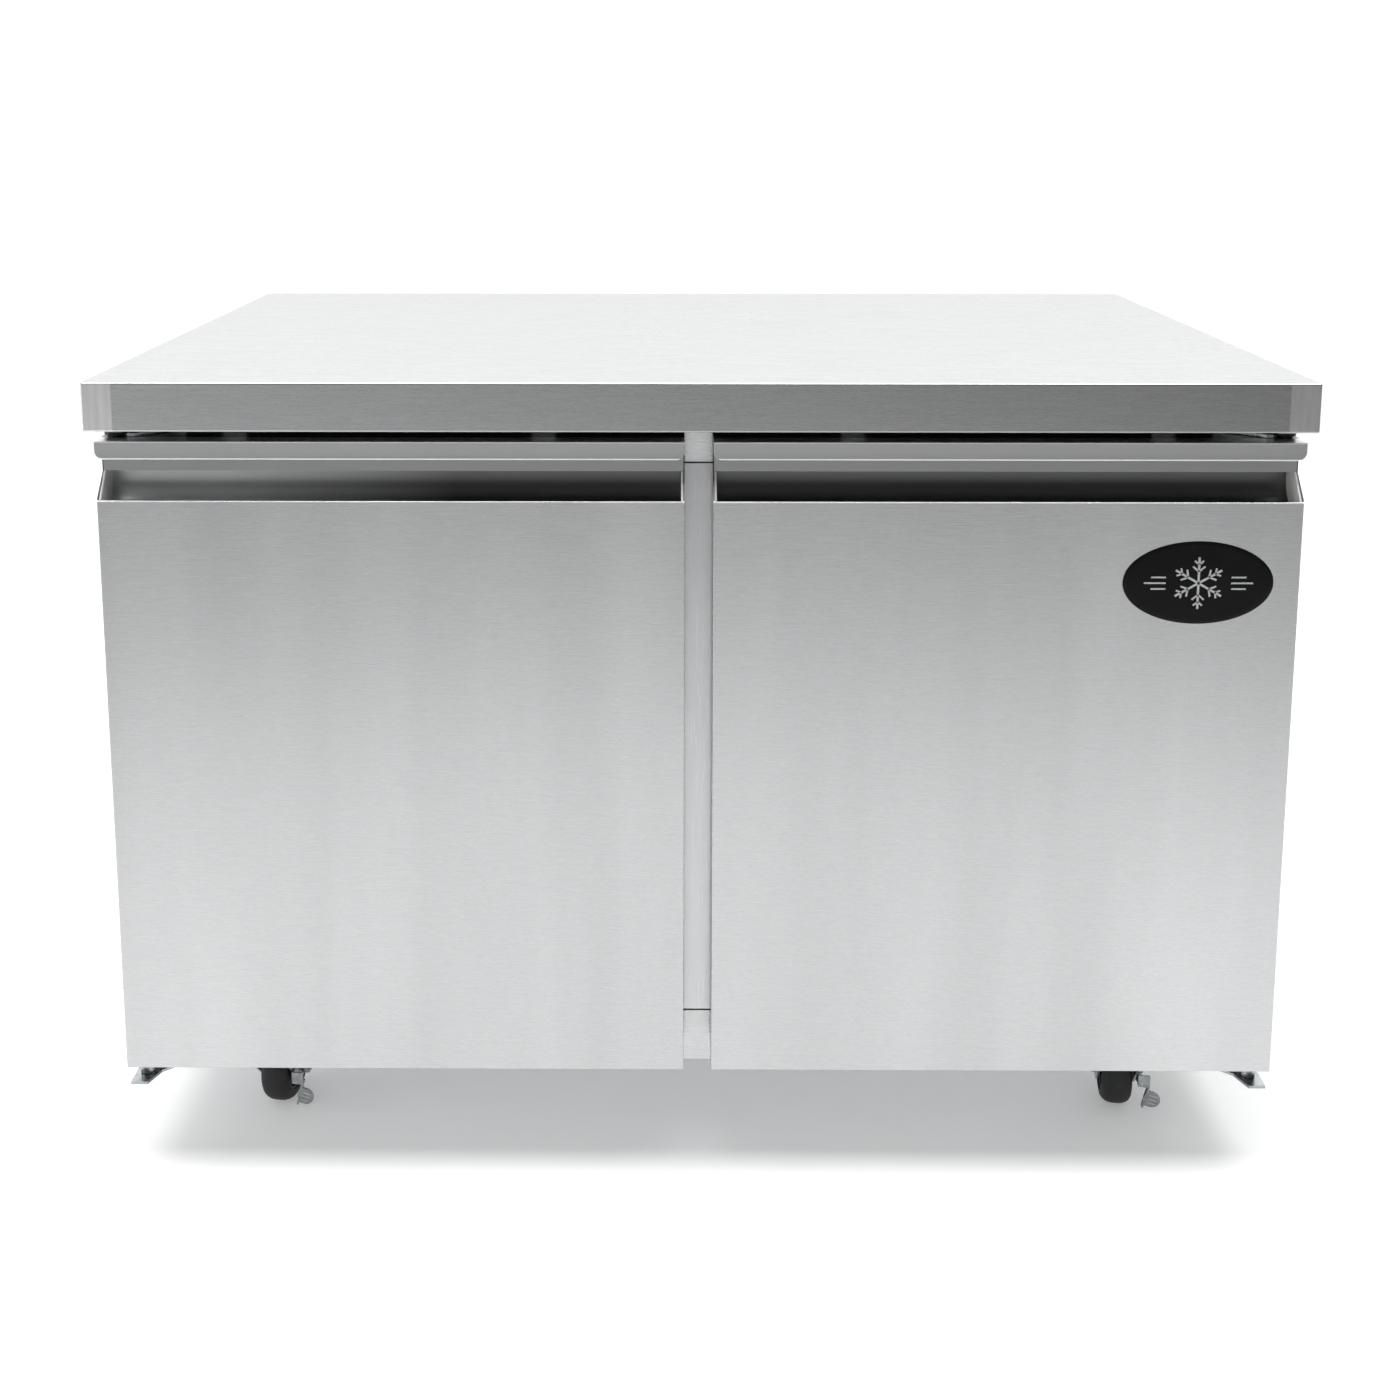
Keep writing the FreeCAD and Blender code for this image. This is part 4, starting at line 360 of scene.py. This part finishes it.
def round_folds(work, radius, faces_of_box):
    """Rolls the folds that lie on the outside of a sheet part: every hard edge of its front face, or
    every edge that is shared by two faces of its bounding box."""
    low = Vector([min(v.co[i] for v in work.verts) for i in range(3)])
    high = Vector([max(v.co[i] for v in work.verts) for i in range(3)])

    def sides(face):
        centre = face.calc_center_median()
        reach = 0.02 * MM
        return [i for i in range(3) if abs(centre[i] - low[i]) < reach or abs(centre[i] - high[i]) < reach]

    chosen = []
    for edge in work.edges:
        if len(edge.link_faces) != 2 or edge.calc_face_angle(0) < math.radians(60):
            continue
        if faces_of_box:
            hit = all(sides(f) for f in edge.link_faces)
        else:
            hit = any(abs(f.calc_center_median().y - low.y) < 0.02 * MM for f in edge.link_faces)
        if hit:
            chosen.append(edge)
    bmesh.ops.bevel(work, geom=chosen, offset=radius, offset_type="OFFSET", segments=4, profile=0.5,
                    affect="EDGES", clamp_overlap=True)


def eased(node, radius, segments=2, finish=None, fold=0.0, box_folds=False):
    """A CAD sheet-metal or moulded part again, with its hard folds eased to a small radius."""
    data = NODE[node].data.copy()
    work = bmesh.new()
    work.from_mesh(data)
    bmesh.ops.remove_doubles(work, verts=work.verts[:], dist=0.01 * MM)
    bmesh.ops.dissolve_limit(work, angle_limit=math.radians(0.5), verts=work.verts[:], edges=work.edges[:])
    if fold:
        round_folds(work, fold, box_folds)
    work.to_mesh(data)
    work.free()
    if data.has_custom_normals:
        data.attributes.remove(data.attributes["custom_normal"])
    piece = new_object(node + "_formed", data)
    ease_edges(piece, radius, segments, 25)
    piece.data.materials.clear()
    piece.data.materials.append(FINISH[finish or SLOT_OF[node]])
    wear(piece, node, BODY_OF[node])
    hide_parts(node)
    return piece


def stainless_panels():
    eased("worktop_shell", 0.3 * MM, finish="worktop", fold=2 * MM, box_folds=True)
    for side in DOORS:
        eased(f"door_{side}_skin", 0.3 * MM, fold=0.8 * MM)
        eased(f"door_{side}_handle", 0.3 * MM, finish="grip_channel", fold=0.7 * MM)
        eased(f"door_{side}_end_caps", 0.8 * MM)
        bushes = eased(f"door_{side}_hinge_bushes", 0.8 * MM)
        bushes.data.materials.append(FINISH["barrel_zinc"])
        for face in bushes.data.polygons:       # moulded cap at the head, plated collar at the foot
            face.material_index = int(face.center.z < TOP / 2)
        eased(f"door_{side}_liner", 1.2 * MM, 3)
    eased("centre_mullion", 0.4 * MM, finish="side_stainless")
    eased("front_frame", 0.4 * MM, finish="frame_stainless")
    eased("side_panels", 0.4 * MM, finish="side_stainless")
    for node in ("top_hinge_brackets", "caster_plates", "worktop_brackets", "shelf_clips"):
        eased(node, 0.5 * MM)
    eased("bottom_hinge_brackets", 0.5 * MM, finish="barrel_zinc")
    for node in ("evaporator_cover", "controller", "cord_gland", "condensate_pan", "control_box"):
        eased(node, 0.7 * MM)


stainless_panels()


# ------------------------------------------------------------------ small shapes
def lathe(work, outline, place, axis, steps=48):
    """Turns a closed outline of (radius, along) points about axis through place."""
    turn = Vector((0, 0, 1)).rotation_difference(Vector(axis)).to_matrix().to_4x4()
    where = Matrix.Translation(place) @ turn
    rings = []
    for step in range(steps):
        angle = 2 * math.pi * step / steps
        out = Vector((math.cos(angle), math.sin(angle), 0))
        rings.append([work.verts.new(where @ (r * out + Vector((0, 0, h)))) for r, h in outline])
    for ring, after in zip(rings, rings[1:] + rings[:1]):
        for i in range(len(outline)):
            k = (i + 1) % len(outline)
            work.faces.new((ring[i], ring[k], after[k], after[i]))
    bmesh.ops.remove_doubles(work, verts=work.verts[:], dist=0.001 * MM)


def block(work, low, high, turn=None):
    """A box between two corners, turned by a matrix when one is given."""
    corners = [Vector(c) for c in itertools.product(*zip(low, high))]
    made = [work.verts.new(turn @ c if turn else c) for c in corners]
    for face in ((0, 1, 3, 2), (4, 6, 7, 5), (0, 4, 5, 1), (2, 3, 7, 6), (0, 2, 6, 4), (1, 5, 7, 3)):
        work.faces.new([made[i] for i in face])


def finish_piece(name, work, slot, body, replaced=(), bevel=0.0, crease=35):
    shade(work, crease)
    piece = from_bmesh(name, work)
    if bevel:
        ease_edges(piece, bevel, 2, crease)
    wear(piece, slot, body)
    if replaced:
        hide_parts(*replaced)
    return piece


# ------------------------------------------------------------------ door gaskets
# Half-bellows section of a magnetic seal: (across the strip, out from the door), in mm
SEAL_SECTION = [(0, 0), (0, 1.4), (2.2, 1.8), (1.2, 3.4), (2.4, 5.0), (2.4, 7.1), (3.2, 7.7), (12.8, 7.7),
                (13.6, 7.1), (13.6, 5.0), (14.8, 3.4), (13.8, 1.8), (16, 1.4), (16, 0)]


def gasket(side):
    """A bellows seal mitred round the door."""
    low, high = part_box(f"door_{side}_gasket")
    work = bmesh.new()
    rings = []
    for x, z, inward_x, inward_z in ((low.x, low.z, 1, 1), (high.x, low.z, -1, 1), (high.x, high.z, -1, -1),
                                     (low.x, high.z, 1, -1)):
        rings.append([work.verts.new((x + inward_x * w * MM, low.y + h * MM, z + inward_z * w * MM))
                      for w, h in SEAL_SECTION])
    for ring, after in zip(rings, rings[1:] + rings[:1]):
        for i in range(len(SEAL_SECTION)):
            k = (i + 1) % len(SEAL_SECTION)
            work.faces.new((ring[i], ring[k], after[k], after[i]))
    node = f"door_{side}_gasket"
    finish_piece(f"door_{side}_bellows_seal", work, node, f"door_{side}", [node])


for side in DOORS:
    gasket(side)


# ------------------------------------------------------------------ badge
SNOWFLAKE_REACH = 27 * MM
ARM_WIDTH = 2.4 * MM


def badge():
    """A domed black oval with a raised snowflake between two bars."""
    low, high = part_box("badge")
    centre = (low + high) / 2
    face = low.y
    half_wide, half_high, thick = (high.x - low.x) / 2, (high.z - low.z) / 2, high.y - low.y
    work = bmesh.new()
    rim = [(0, thick), (0.9, 0.94 * thick), (0.97, 0.75 * thick), (1.0, 0.35 * thick), (1.0, 0), (0, 0)]
    lathe(work, rim, (0, 0, 0), (0, 0, 1), 96)
    stand = Matrix.Translation((centre.x, high.y, centre.z)) @ Matrix.Rotation(math.radians(90), 4, "X")
    oval = Matrix.Diagonal((half_wide, half_high, 1, 1))
    bmesh.ops.transform(work, verts=work.verts[:], matrix=stand @ oval)
    finish_piece("badge_domed_plate", work, "badge", "door_right", ["badge"])

    work = bmesh.new()
    top, bottom = face - 0.5 * MM, face + 0.4 * MM
    middle = Matrix.Translation((centre.x, 0, centre.z))

    def bar(start, end, width, turn):
        along = Vector((end[0] - start[0], 0, end[1] - start[1]))
        lean = Matrix.Rotation(-math.atan2(along.z, along.x), 4, "Y")
        lie = Matrix.Translation((start[0], 0, start[1])) @ lean
        block(work, (0, top, -width / 2), (along.length, bottom, width / 2), middle @ turn @ lie)

    for arm in range(6):
        turn = Matrix.Rotation(math.radians(60 * arm + 30), 4, "Y")
        bar((0, 0), (SNOWFLAKE_REACH, 0), ARM_WIDTH, turn)
        for reach, twig in ((0.45, 0.3), (0.72, 0.22)):
            root = reach * SNOWFLAKE_REACH
            for way in (-1, 1):
                tip = (root + twig * SNOWFLAKE_REACH * 0.64, way * twig * SNOWFLAKE_REACH * 0.77)
                bar((root, 0), tip, ARM_WIDTH * 0.8, turn)
    for way in (-1, 1):
        for row, length in ((-6, 15), (0, 22), (6, 15)):
            bar((way * 33 * MM, row * MM), (way * (33 + length) * MM, row * MM), 1.8 * MM, Matrix.Identity(4))
    finish_piece("badge_raised_snowflake", work, "fasteners", "door_right", bevel=0.12 * MM)


badge()


# ------------------------------------------------------------------ casters
# (radius, along the axle) in mm
TYRE_OUTLINE = [(24.5, -15), (25.5, -16.6), (28, -17), (31, -16.3), (34, -14.2), (36.3, -11), (37.6, -7),
                (38, -3), (38, 3), (37.6, 7), (36.3, 11), (34, 14.2), (31, 16.3), (28, 17), (25.5, 16.6),
                (24.5, 15)]
HUB_OUTLINE = [(4.05, -18), (8.2, -18), (9, -17.2), (9, -8), (21, -6), (22.5, -14), (25, -15), (25, 15),
               (22.5, 14), (21, 6), (9, 8), (9, 17.2), (8.2, 18), (4.05, 18)]
HUB_RIBS = 6


def caster_wheel(corner):
    """A rubber tyre moulded on a ribbed nylon hub."""
    spin = JOINT[f"caster_{corner}_wheel_spin"]
    place, axis = Vector(spin["pos_m"]), Vector(spin["axis"])
    body = f"caster_{corner}_wheel"
    work = bmesh.new()
    lathe(work, [(r * MM, h * MM) for r, h in TYRE_OUTLINE], place, axis, 72)
    finish_piece(f"caster_{corner}_tyre", work, "wheel_tread", body, [f"caster_{corner}_wheel"])
    work = bmesh.new()
    lathe(work, [(r * MM, h * MM) for r, h in HUB_OUTLINE], place, axis, 48)
    stand = Matrix.Translation(place) @ Vector((0, 0, 1)).rotation_difference(axis).to_matrix().to_4x4()
    for rib in range(HUB_RIBS):
        turn = stand @ Matrix.Rotation(2 * math.pi * rib / HUB_RIBS, 4, "Z")
        block(work, (8.5 * MM, -0.9 * MM, -13.5 * MM), (22.6 * MM, 0.9 * MM, 13.5 * MM), turn)
    finish_piece(f"caster_{corner}_hub", work, "fan_plastic", body)


TAB_ROOT = Vector((34.3, -36, 1)) * MM      # top of the tab's straight edge, from the axle's middle
TAB_LEAN = math.radians(14)


def brake_tab_ridges(corner):
    """Three ribs pressed into the brake's leaning foot tab for grip."""
    lever = JOINT[f"caster_{corner}_brake_lever"]
    place, axis = Vector(lever["pos_m"]), Vector(lever["axis"])
    across = axis.normalized()
    back = Vector((-across.y, across.x, 0))
    frame_of = Matrix((across, back, (0, 0, 1))).transposed().to_4x4()
    tab = Matrix.Translation(TAB_ROOT) @ Matrix.Rotation(TAB_LEAN, 4, "Y")
    stand = Matrix.Translation(place) @ frame_of @ tab
    work = bmesh.new()
    for rib in (-4.5, 0, 4.5):
        block(work, (3 * MM, -0.6 * MM, (rib - 14.6) * MM), (12 * MM, 0.3 * MM, (rib - 13.4) * MM), stand)
    finish_piece(f"caster_{corner}_brake_ridges", work, "zinc_plated", f"caster_{corner}_brake",
                 bevel=0.3 * MM)


for corner in CORNERS:
    caster_wheel(corner)
    eased(f"caster_{corner}_fork", 0.6 * MM, finish="barrel_zinc")
for corner in CORNERS[:2]:
    eased(f"caster_{corner}_brake", 0.5 * MM, finish="barrel_zinc")
    brake_tab_ridges(corner)


# ------------------------------------------------------------------ back of the cabinet
VENT_COLUMNS = (-420, -140, 140, 420)
VENT_ROWS = tuple(range(180, 421, 24)) + tuple(range(660, 757, 24))
VENT_WIDTH = 200
# (out from the panel, up from the slot's middle) in mm
HOOD_ARC = [(0, 6.5), (2.0, 5.6), (3.4, 3.4), (4.0, 0.4), (4.0, -2.5), (3.3, -2.5), (3.2, 0.3), (2.7, 2.9),
            (1.6, 4.8), (0, 5.6)]


def louvre_hoods():
    """Pressed hoods that shed water over each slot in the rear panel."""
    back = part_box("rear_grille")[1].y
    work = bmesh.new()
    for centre in VENT_COLUMNS:
        for row in VENT_ROWS:
            ends = []
            for end, flat in ((-1, 0.05), (-0.94, 1), (0.94, 1), (1, 0.05)):
                x = (centre + end * (VENT_WIDTH / 2 + 4)) * MM
                ends.append([work.verts.new((x, back + out * flat * MM, (row + up) * MM))
                             for out, up in HOOD_ARC])
            for ring, after in zip(ends, ends[1:]):
                for i in range(len(HOOD_ARC)):
                    k = (i + 1) % len(HOOD_ARC)
                    work.faces.new((ring[i], ring[k], after[k], after[i]))
            work.faces.new(ends[0])
            work.faces.new(ends[-1][::-1])
    finish_piece("rear_louvre_hoods", work, "rear_grille", "cabinet")


def controller_face():
    """A smoked window over the display, a row of indicator lamps and arrows on the keys."""
    low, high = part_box("controller")
    centre_z = (low.z + high.z) / 2
    work = bmesh.new()
    block(work, (low.x + 18 * MM, high.y - 0.2 * MM, centre_z - 10 * MM),
          (high.x - 8 * MM, high.y + 0.6 * MM, centre_z + 10 * MM))
    finish_piece("controller_window", work, "badge_plate", "cabinet", bevel=0.4 * MM)
    work = bmesh.new()
    for lamp in (-6, 0, 6):
        lathe(work, [(0, 0), (0.9 * MM, 0), (0.9 * MM, 0.5 * MM), (0.5 * MM, 0.8 * MM), (0, 0.9 * MM)],
              (high.x - 4 * MM, high.y - 0.1 * MM, centre_z + lamp * MM), (0, 1, 0), 20)
    finish_piece("controller_lamps", work, "white_plastic", "cabinet")
    for key, way in (("key_up", 1), ("key_down", -1)):
        eased(key, 0.3 * MM)
        low_k, high_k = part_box(key)
        middle = (low_k + high_k) / 2
        work = bmesh.new()
        points = [(-2.2, -1.1 * way), (2.2, -1.1 * way), (0, 1.5 * way)]
        rings = [[work.verts.new((middle.x + x * MM, high_k.y + lift * MM, middle.z + z * MM))
                  for x, z in points] for lift in (-0.1, 0.12)]
        for i in range(3):
            k = (i + 1) % 3
            work.faces.new((rings[0][i], rings[0][k], rings[1][k], rings[1][i]))
        work.faces.new(rings[0])
        work.faces.new(rings[1][::-1])
        finish_piece(f"{key}_arrow", work, "black_plastic", key)


BOLT_PLACES = [(x, y) for x in (-37, 37) for y in (-24, 24)]      # from each caster's swivel axis, in mm


def fasteners():
    """Pan heads with a cross recess, and hexagon bolts with a chamfered head under each caster plate."""
    heads, recesses = bmesh.new(), bmesh.new()
    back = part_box("rear_grille")[1].y
    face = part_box("front_frame")[0].y - 2.5 * MM
    spots = [(x, back, z, 1) for x in (-590, -200, 200, 590) for z in (116, 802)]
    spots += [(side * x, face, z, -1) for side in (-1, 1) for x in (572, 552) for z in (801, 114)]
    dome = [(0, -2.4), (2, -2.4), (2, 0), (4.2, 0), (4.2, 0.5), (3.7, 1.4), (2.6, 2.0), (1.2, 2.2), (0, 2.2)]
    for x, y, z, way in spots:
        place = (x * MM, y, z * MM)
        lathe(heads, [(r * MM, h * MM) for r, h in dome], place, (0, way, 0), 28)
        for turn in (0, 90):
            swing = Matrix.Translation(place) @ Matrix.Rotation(math.radians(turn + 20 + x % 45), 4, "Y")
            block(recesses, (-2.2 * MM, way * 1.1 * MM, -0.45 * MM),
                  (2.2 * MM, way * 3 * MM, 0.45 * MM), swing)
    shade(heads)
    piece = from_bmesh("pan_heads_and_hexagon_bolts", heads)
    cutter = from_bmesh("recess_cutter", recesses)
    hollow = piece.modifiers.new("recess", "BOOLEAN")
    hollow.object = cutter
    hollow.operation = "DIFFERENCE"
    settled(piece)
    bpy.data.objects.remove(cutter)

    work = bmesh.new()
    work.from_mesh(piece.data)
    hexagon = [(0, 91.7), (6.3, 91.7), (7.5, 92.5), (7.5, 97), (0, 97)]
    shank = [(0, 96.5), (4, 96.5), (4, 100), (0, 100)]
    for corner in CORNERS:
        swivel = JOINT[f"caster_{corner}_swivel_joint"]["pos_m"]
        for x, y in BOLT_PLACES:
            for outline, steps in ((hexagon, 6), (shank, 20)):
                lathe(work, [(r * MM, h * MM) for r, h in outline],
                      (swivel[0] + x * MM, swivel[1] + y * MM, 0), (0, 0, 1), steps)
    shade(work)
    bmesh.ops.recalc_face_normals(work, faces=work.faces[:])
    work.to_mesh(piece.data)
    work.free()
    wear(piece, "screws", "cabinet")
    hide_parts("screws")


def rail_shadow_strip():
    """A black strip shaped as foam tape on the cabinet's front rail, under the worktop: painted shadow that
    darkens the gap above the doors.
    """
    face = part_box("front_frame")[0].y
    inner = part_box("bottom_hinge_brackets")[1].x - 75 * MM
    work = bmesh.new()
    for low, high in ((-inner, -0.0145), (0.0145, inner)):
        block(work, (low, face - 0.9 * MM, TOP - 73.5 * MM), (high, face - 0.05 * MM, TOP - 50.2 * MM))
    finish_piece("rail_painted_shadow_strip", work, "gasket", "cabinet", bevel=0.3 * MM)


louvre_hoods()
controller_face()
fasteners()
rail_shadow_strip()


# ------------------------------------------------------------------ machine parts
def fan_rotor(node, joint, slot):
    """Five cambered blades on a capped hub."""
    spin = JOINT[joint]
    axis = Vector(spin["axis"])
    low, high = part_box(node)
    place = (low + high) / 2
    stand = Matrix.Translation(place) @ Vector((0, 0, 1)).rotation_difference(axis).to_matrix().to_4x4()
    half = 11 * MM
    work = bmesh.new()
    lathe(work, [(3.05 * MM, -half), (18 * MM, -half), (20 * MM, -half + 2 * MM), (20 * MM, half - 2 * MM),
                 (18 * MM, half), (3.05 * MM, half)], place, axis, 48)
    across, along = 10, 8
    for blade in range(5):
        turn = stand @ Matrix.Rotation(2 * math.pi * blade / 5, 4, "Z")
        sheets = []
        for skin in (-0.7 * MM, 0.7 * MM):
            rows = []
            for i in range(along + 1):
                reach = 18 * MM + 53 * MM * i / along
                sweep = math.radians(-24 + 10 * i / along)
                wide = math.radians(46 - 10 * i / along)
                pitch = math.radians(34 - 14 * i / along)
                row = []
                for k in range(across + 1):
                    share = k / across - 0.5
                    angle = sweep + wide * (share + 0.5)
                    camber = 2.2 * MM * (0.25 - share * share) * 4
                    rise = share * wide * reach * math.tan(pitch) * 0.55 + camber + skin
                    point = Vector((reach * math.cos(angle), reach * math.sin(angle), rise))
                    row.append(work.verts.new(turn @ point))
                rows.append(row)
            sheets.append(rows)
        for rows in sheets:
            for a, b in zip(rows, rows[1:]):
                for k in range(across):
                    work.faces.new((a[k], a[k + 1], b[k + 1], b[k]))
        rim = []
        for rows in sheets:
            loop = rows[0] + [r[-1] for r in rows[1:]] + rows[-1][-2::-1] + [r[0] for r in rows[-2:0:-1]]
            rim.append(loop)
        for i in range(len(rim[0])):
            k = (i + 1) % len(rim[0])
            work.faces.new((rim[0][i], rim[0][k], rim[1][k], rim[1][i]))
    finish_piece(node + "_moulded", work, slot, node, [node])


def finned_coil(name, node, fin_axis, pitch, fin_slot):
    """Closely spaced plate fins on the hairpin tubes that the CAD coil already carries."""
    low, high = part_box(node)
    work = bmesh.new()
    start, end = low[fin_axis] + 8 * MM, high[fin_axis] - 8 * MM
    count = int((end - start) / pitch)
    a, b = [i for i in range(3) if i != fin_axis]
    for number in range(count + 1):
        lower, upper = low.copy(), high.copy()
        lower[fin_axis] = start + number * pitch
        upper[fin_axis] = lower[fin_axis] + 0.3 * MM
        lower[a] += 1 * MM
        upper[a] -= 1 * MM
        lower[b] += 12 * MM
        upper[b] -= 1 * MM
        block(work, lower, upper)
    finish_piece(name, work, fin_slot, "cabinet")


def compressor_shell():
    """A deep-drawn two-part can with its weld belt, on a pressed base with rubber feet."""
    low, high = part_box("compressor")
    base_x = low.x + 95 * MM
    middle = Vector((base_x, (low.y + high.y) / 2, 0))
    outline = [(0, 118), (54, 118), (64, 121), (71, 129), (74, 140), (74, 190), (76, 191.5), (78.6, 192),
               (78.6, 197), (76, 197.5), (74, 199), (73, 214), (69, 234), (61, 249), (48, 260), (28, 267),
               (0, 270)]
    work = bmesh.new()
    lathe(work, [(r * MM, h * MM) for r, h in outline], middle, (0, 0, 1), 72)
    block(work, middle + Vector((-95, -66, 114)) * MM, middle + Vector((95, 66, 118.5)) * MM)
    block(work, middle + Vector((60, -26, 150)) * MM, middle + Vector((98, 26, 188)) * MM)
    finish_piece("compressor_drawn_shell", work, "compressor", "cabinet", ["compressor"], bevel=0.8 * MM)
    work = bmesh.new()
    for x in (-82, 82):
        for y in (-54, 54):
            foot = [(0, 101), (11, 101), (11, 105), (8.5, 107), (8.5, 109), (11, 111), (11, 114), (0, 114)]
            lathe(work, [(r * MM, h * MM) for r, h in foot], middle + Vector((x, y, 0)) * MM, (0, 0, 1), 24)
    finish_piece("compressor_rubber_feet", work, "gasket", "cabinet")


fan_rotor("evaporator_fan", "evaporator_fan_spin", "evaporator_fan")
fan_rotor("condenser_fan", "condenser_fan_spin", "condenser_fan")
finned_coil("condenser_plate_fins", "condenser_coil", 1, 3 * MM, "coil_aluminium")
finned_coil("evaporator_plate_fins", "evaporator_coil", 0, 5 * MM, "coil_aluminium")
compressor_shell()


# ------------------------------------------------------------------ studio
FLOOR_FRONT, FLOOR_BACK, FLOOR_SIDE = -4.2, 3.2, 4.5


def studio():
    paper, tree, shader, where = blank("paper_floor_seamless")
    fibre = add(tree, "TexNoise", {"Vector": stretched(tree, where, (40 * MM,) * 3), "Scale": 1.0,
                                   "Detail": 2.0})
    tone = add(tree, "Mix", {"Factor": fibre.outputs["Fac"], 6: linear("#F2F2F2"), 7: linear("#F7F7F7")},
               data_type="RGBA")
    tree.links.new(tone.outputs[2], shader.inputs["Base Color"])
    shader.inputs["Roughness"].default_value = 0.9
    tree.links.new(tone.outputs[2], shader.inputs["Emission Color"])
    place = add(tree, "SeparateXYZ", {"Vector": where})
    # painted light: the paper glows a little near the cabinet, which weakens the shadow under it
    painted_floor_glow = add(tree, "MapRange", {"Value": place.outputs["Y"], "From Min": -2.2,
                                            "From Max": -0.8, "To Min": 0.0, "To Max": 0.3})
    tree.links.new(painted_floor_glow.outputs["Result"], shader.inputs["Emission Strength"])
    work = bmesh.new()
    corners = ((-FLOOR_SIDE, FLOOR_FRONT), (FLOOR_SIDE, FLOOR_FRONT), (FLOOR_SIDE, FLOOR_BACK),
               (-FLOOR_SIDE, FLOOR_BACK))
    work.faces.new([work.verts.new((x, y, 0)) for x, y in corners])
    floor = from_bmesh("paper_floor", work)
    floor.data.materials.append(paper)

    world = bpy.data.worlds.new("studio_surround")
    bpy.context.scene.world = world
    world.use_nodes = True
    tree = world.node_tree
    tree.nodes.clear()
    toward = add(tree, "SeparateXYZ", {"Vector": add(tree, "TexCoord").outputs["Generated"]})
    backdrop = add(tree, "MapRange", {"Value": toward.outputs["Y"], "From Min": 0.1, "From Max": 0.75,
                                      "To Min": 0.0, "To Max": 1.05})
    ceiling = add(tree, "MapRange", {"Value": toward.outputs["Z"], "From Min": 0.45, "From Max": 0.95,
                                     "To Min": 0.12, "To Max": 0.4})
    ground = add(tree, "MapRange", {"Value": toward.outputs["Z"], "From Min": -0.02, "From Max": 0.1,
                                    "To Min": 0.5, "To Max": 0.0})
    window_side = add(tree, "MapRange", {"Value": toward.outputs["X"], "From Min": -0.6, "From Max": 0.6,
                                         "To Min": 1.28, "To Max": 0.68})
    room = add(tree, "Math", {0: ceiling.outputs["Result"], 1: ground.outputs["Result"]},
               operation="MAXIMUM")
    tilted = add(tree, "Math", {0: room.outputs["Value"], 1: window_side.outputs["Result"]},
                 operation="MULTIPLY")
    whole = add(tree, "Math", {0: tilted.outputs["Value"], 1: backdrop.outputs["Result"]},
                operation="MAXIMUM")
    glow = add(tree, "Background", {"Color": [1, 1, 1, 1], "Strength": whole.outputs["Value"]})
    add(tree, "OutputWorld", {"Surface": glow.outputs["Background"]})


def soft_light(name, place, toward, size, watts):
    lamp = bpy.data.lights.new(name, "AREA")
    lamp.shape = "RECTANGLE"
    lamp.size, lamp.size_y = size
    lamp.energy = watts
    made = new_object(name, lamp)
    made.location = place
    made.rotation_euler = (Vector(toward) - Vector(place)).to_track_quat("-Z", "Y").to_euler()


def camera():
    """Just left of the middle, a little above the worktop, looking down at it."""
    lens = bpy.data.cameras.new("camera")
    lens.sensor_width = 36
    lens.lens = 42.06
    lens.shift_x = 0.0256
    lens.shift_y = -0.2463
    lens.clip_start = 0.05
    made = new_object("camera", lens)
    made.location = (-0.0247, FRONT - 1.589, TOP + 0.2735)
    made.rotation_euler = (math.radians(90 - 8.79), 0, math.radians(0.37))
    bpy.context.scene.camera = made


studio()
soft_light("overhead_softbox", (0, -0.75, 2.6), (0, -0.75, 0), (3.2, 1.1), 66)
soft_light("backdrop_softbox", (0, 2.5, 2.9), (0, 2.5, 0), (6.5, 2.4), 105)
soft_light("window_softbox", (-3.6, -1.3, 1.1), (0, -0.4, 0.6), (1.0, 1.6), 28)
camera()
bpy.context.scene.view_settings.view_transform = "Standard"
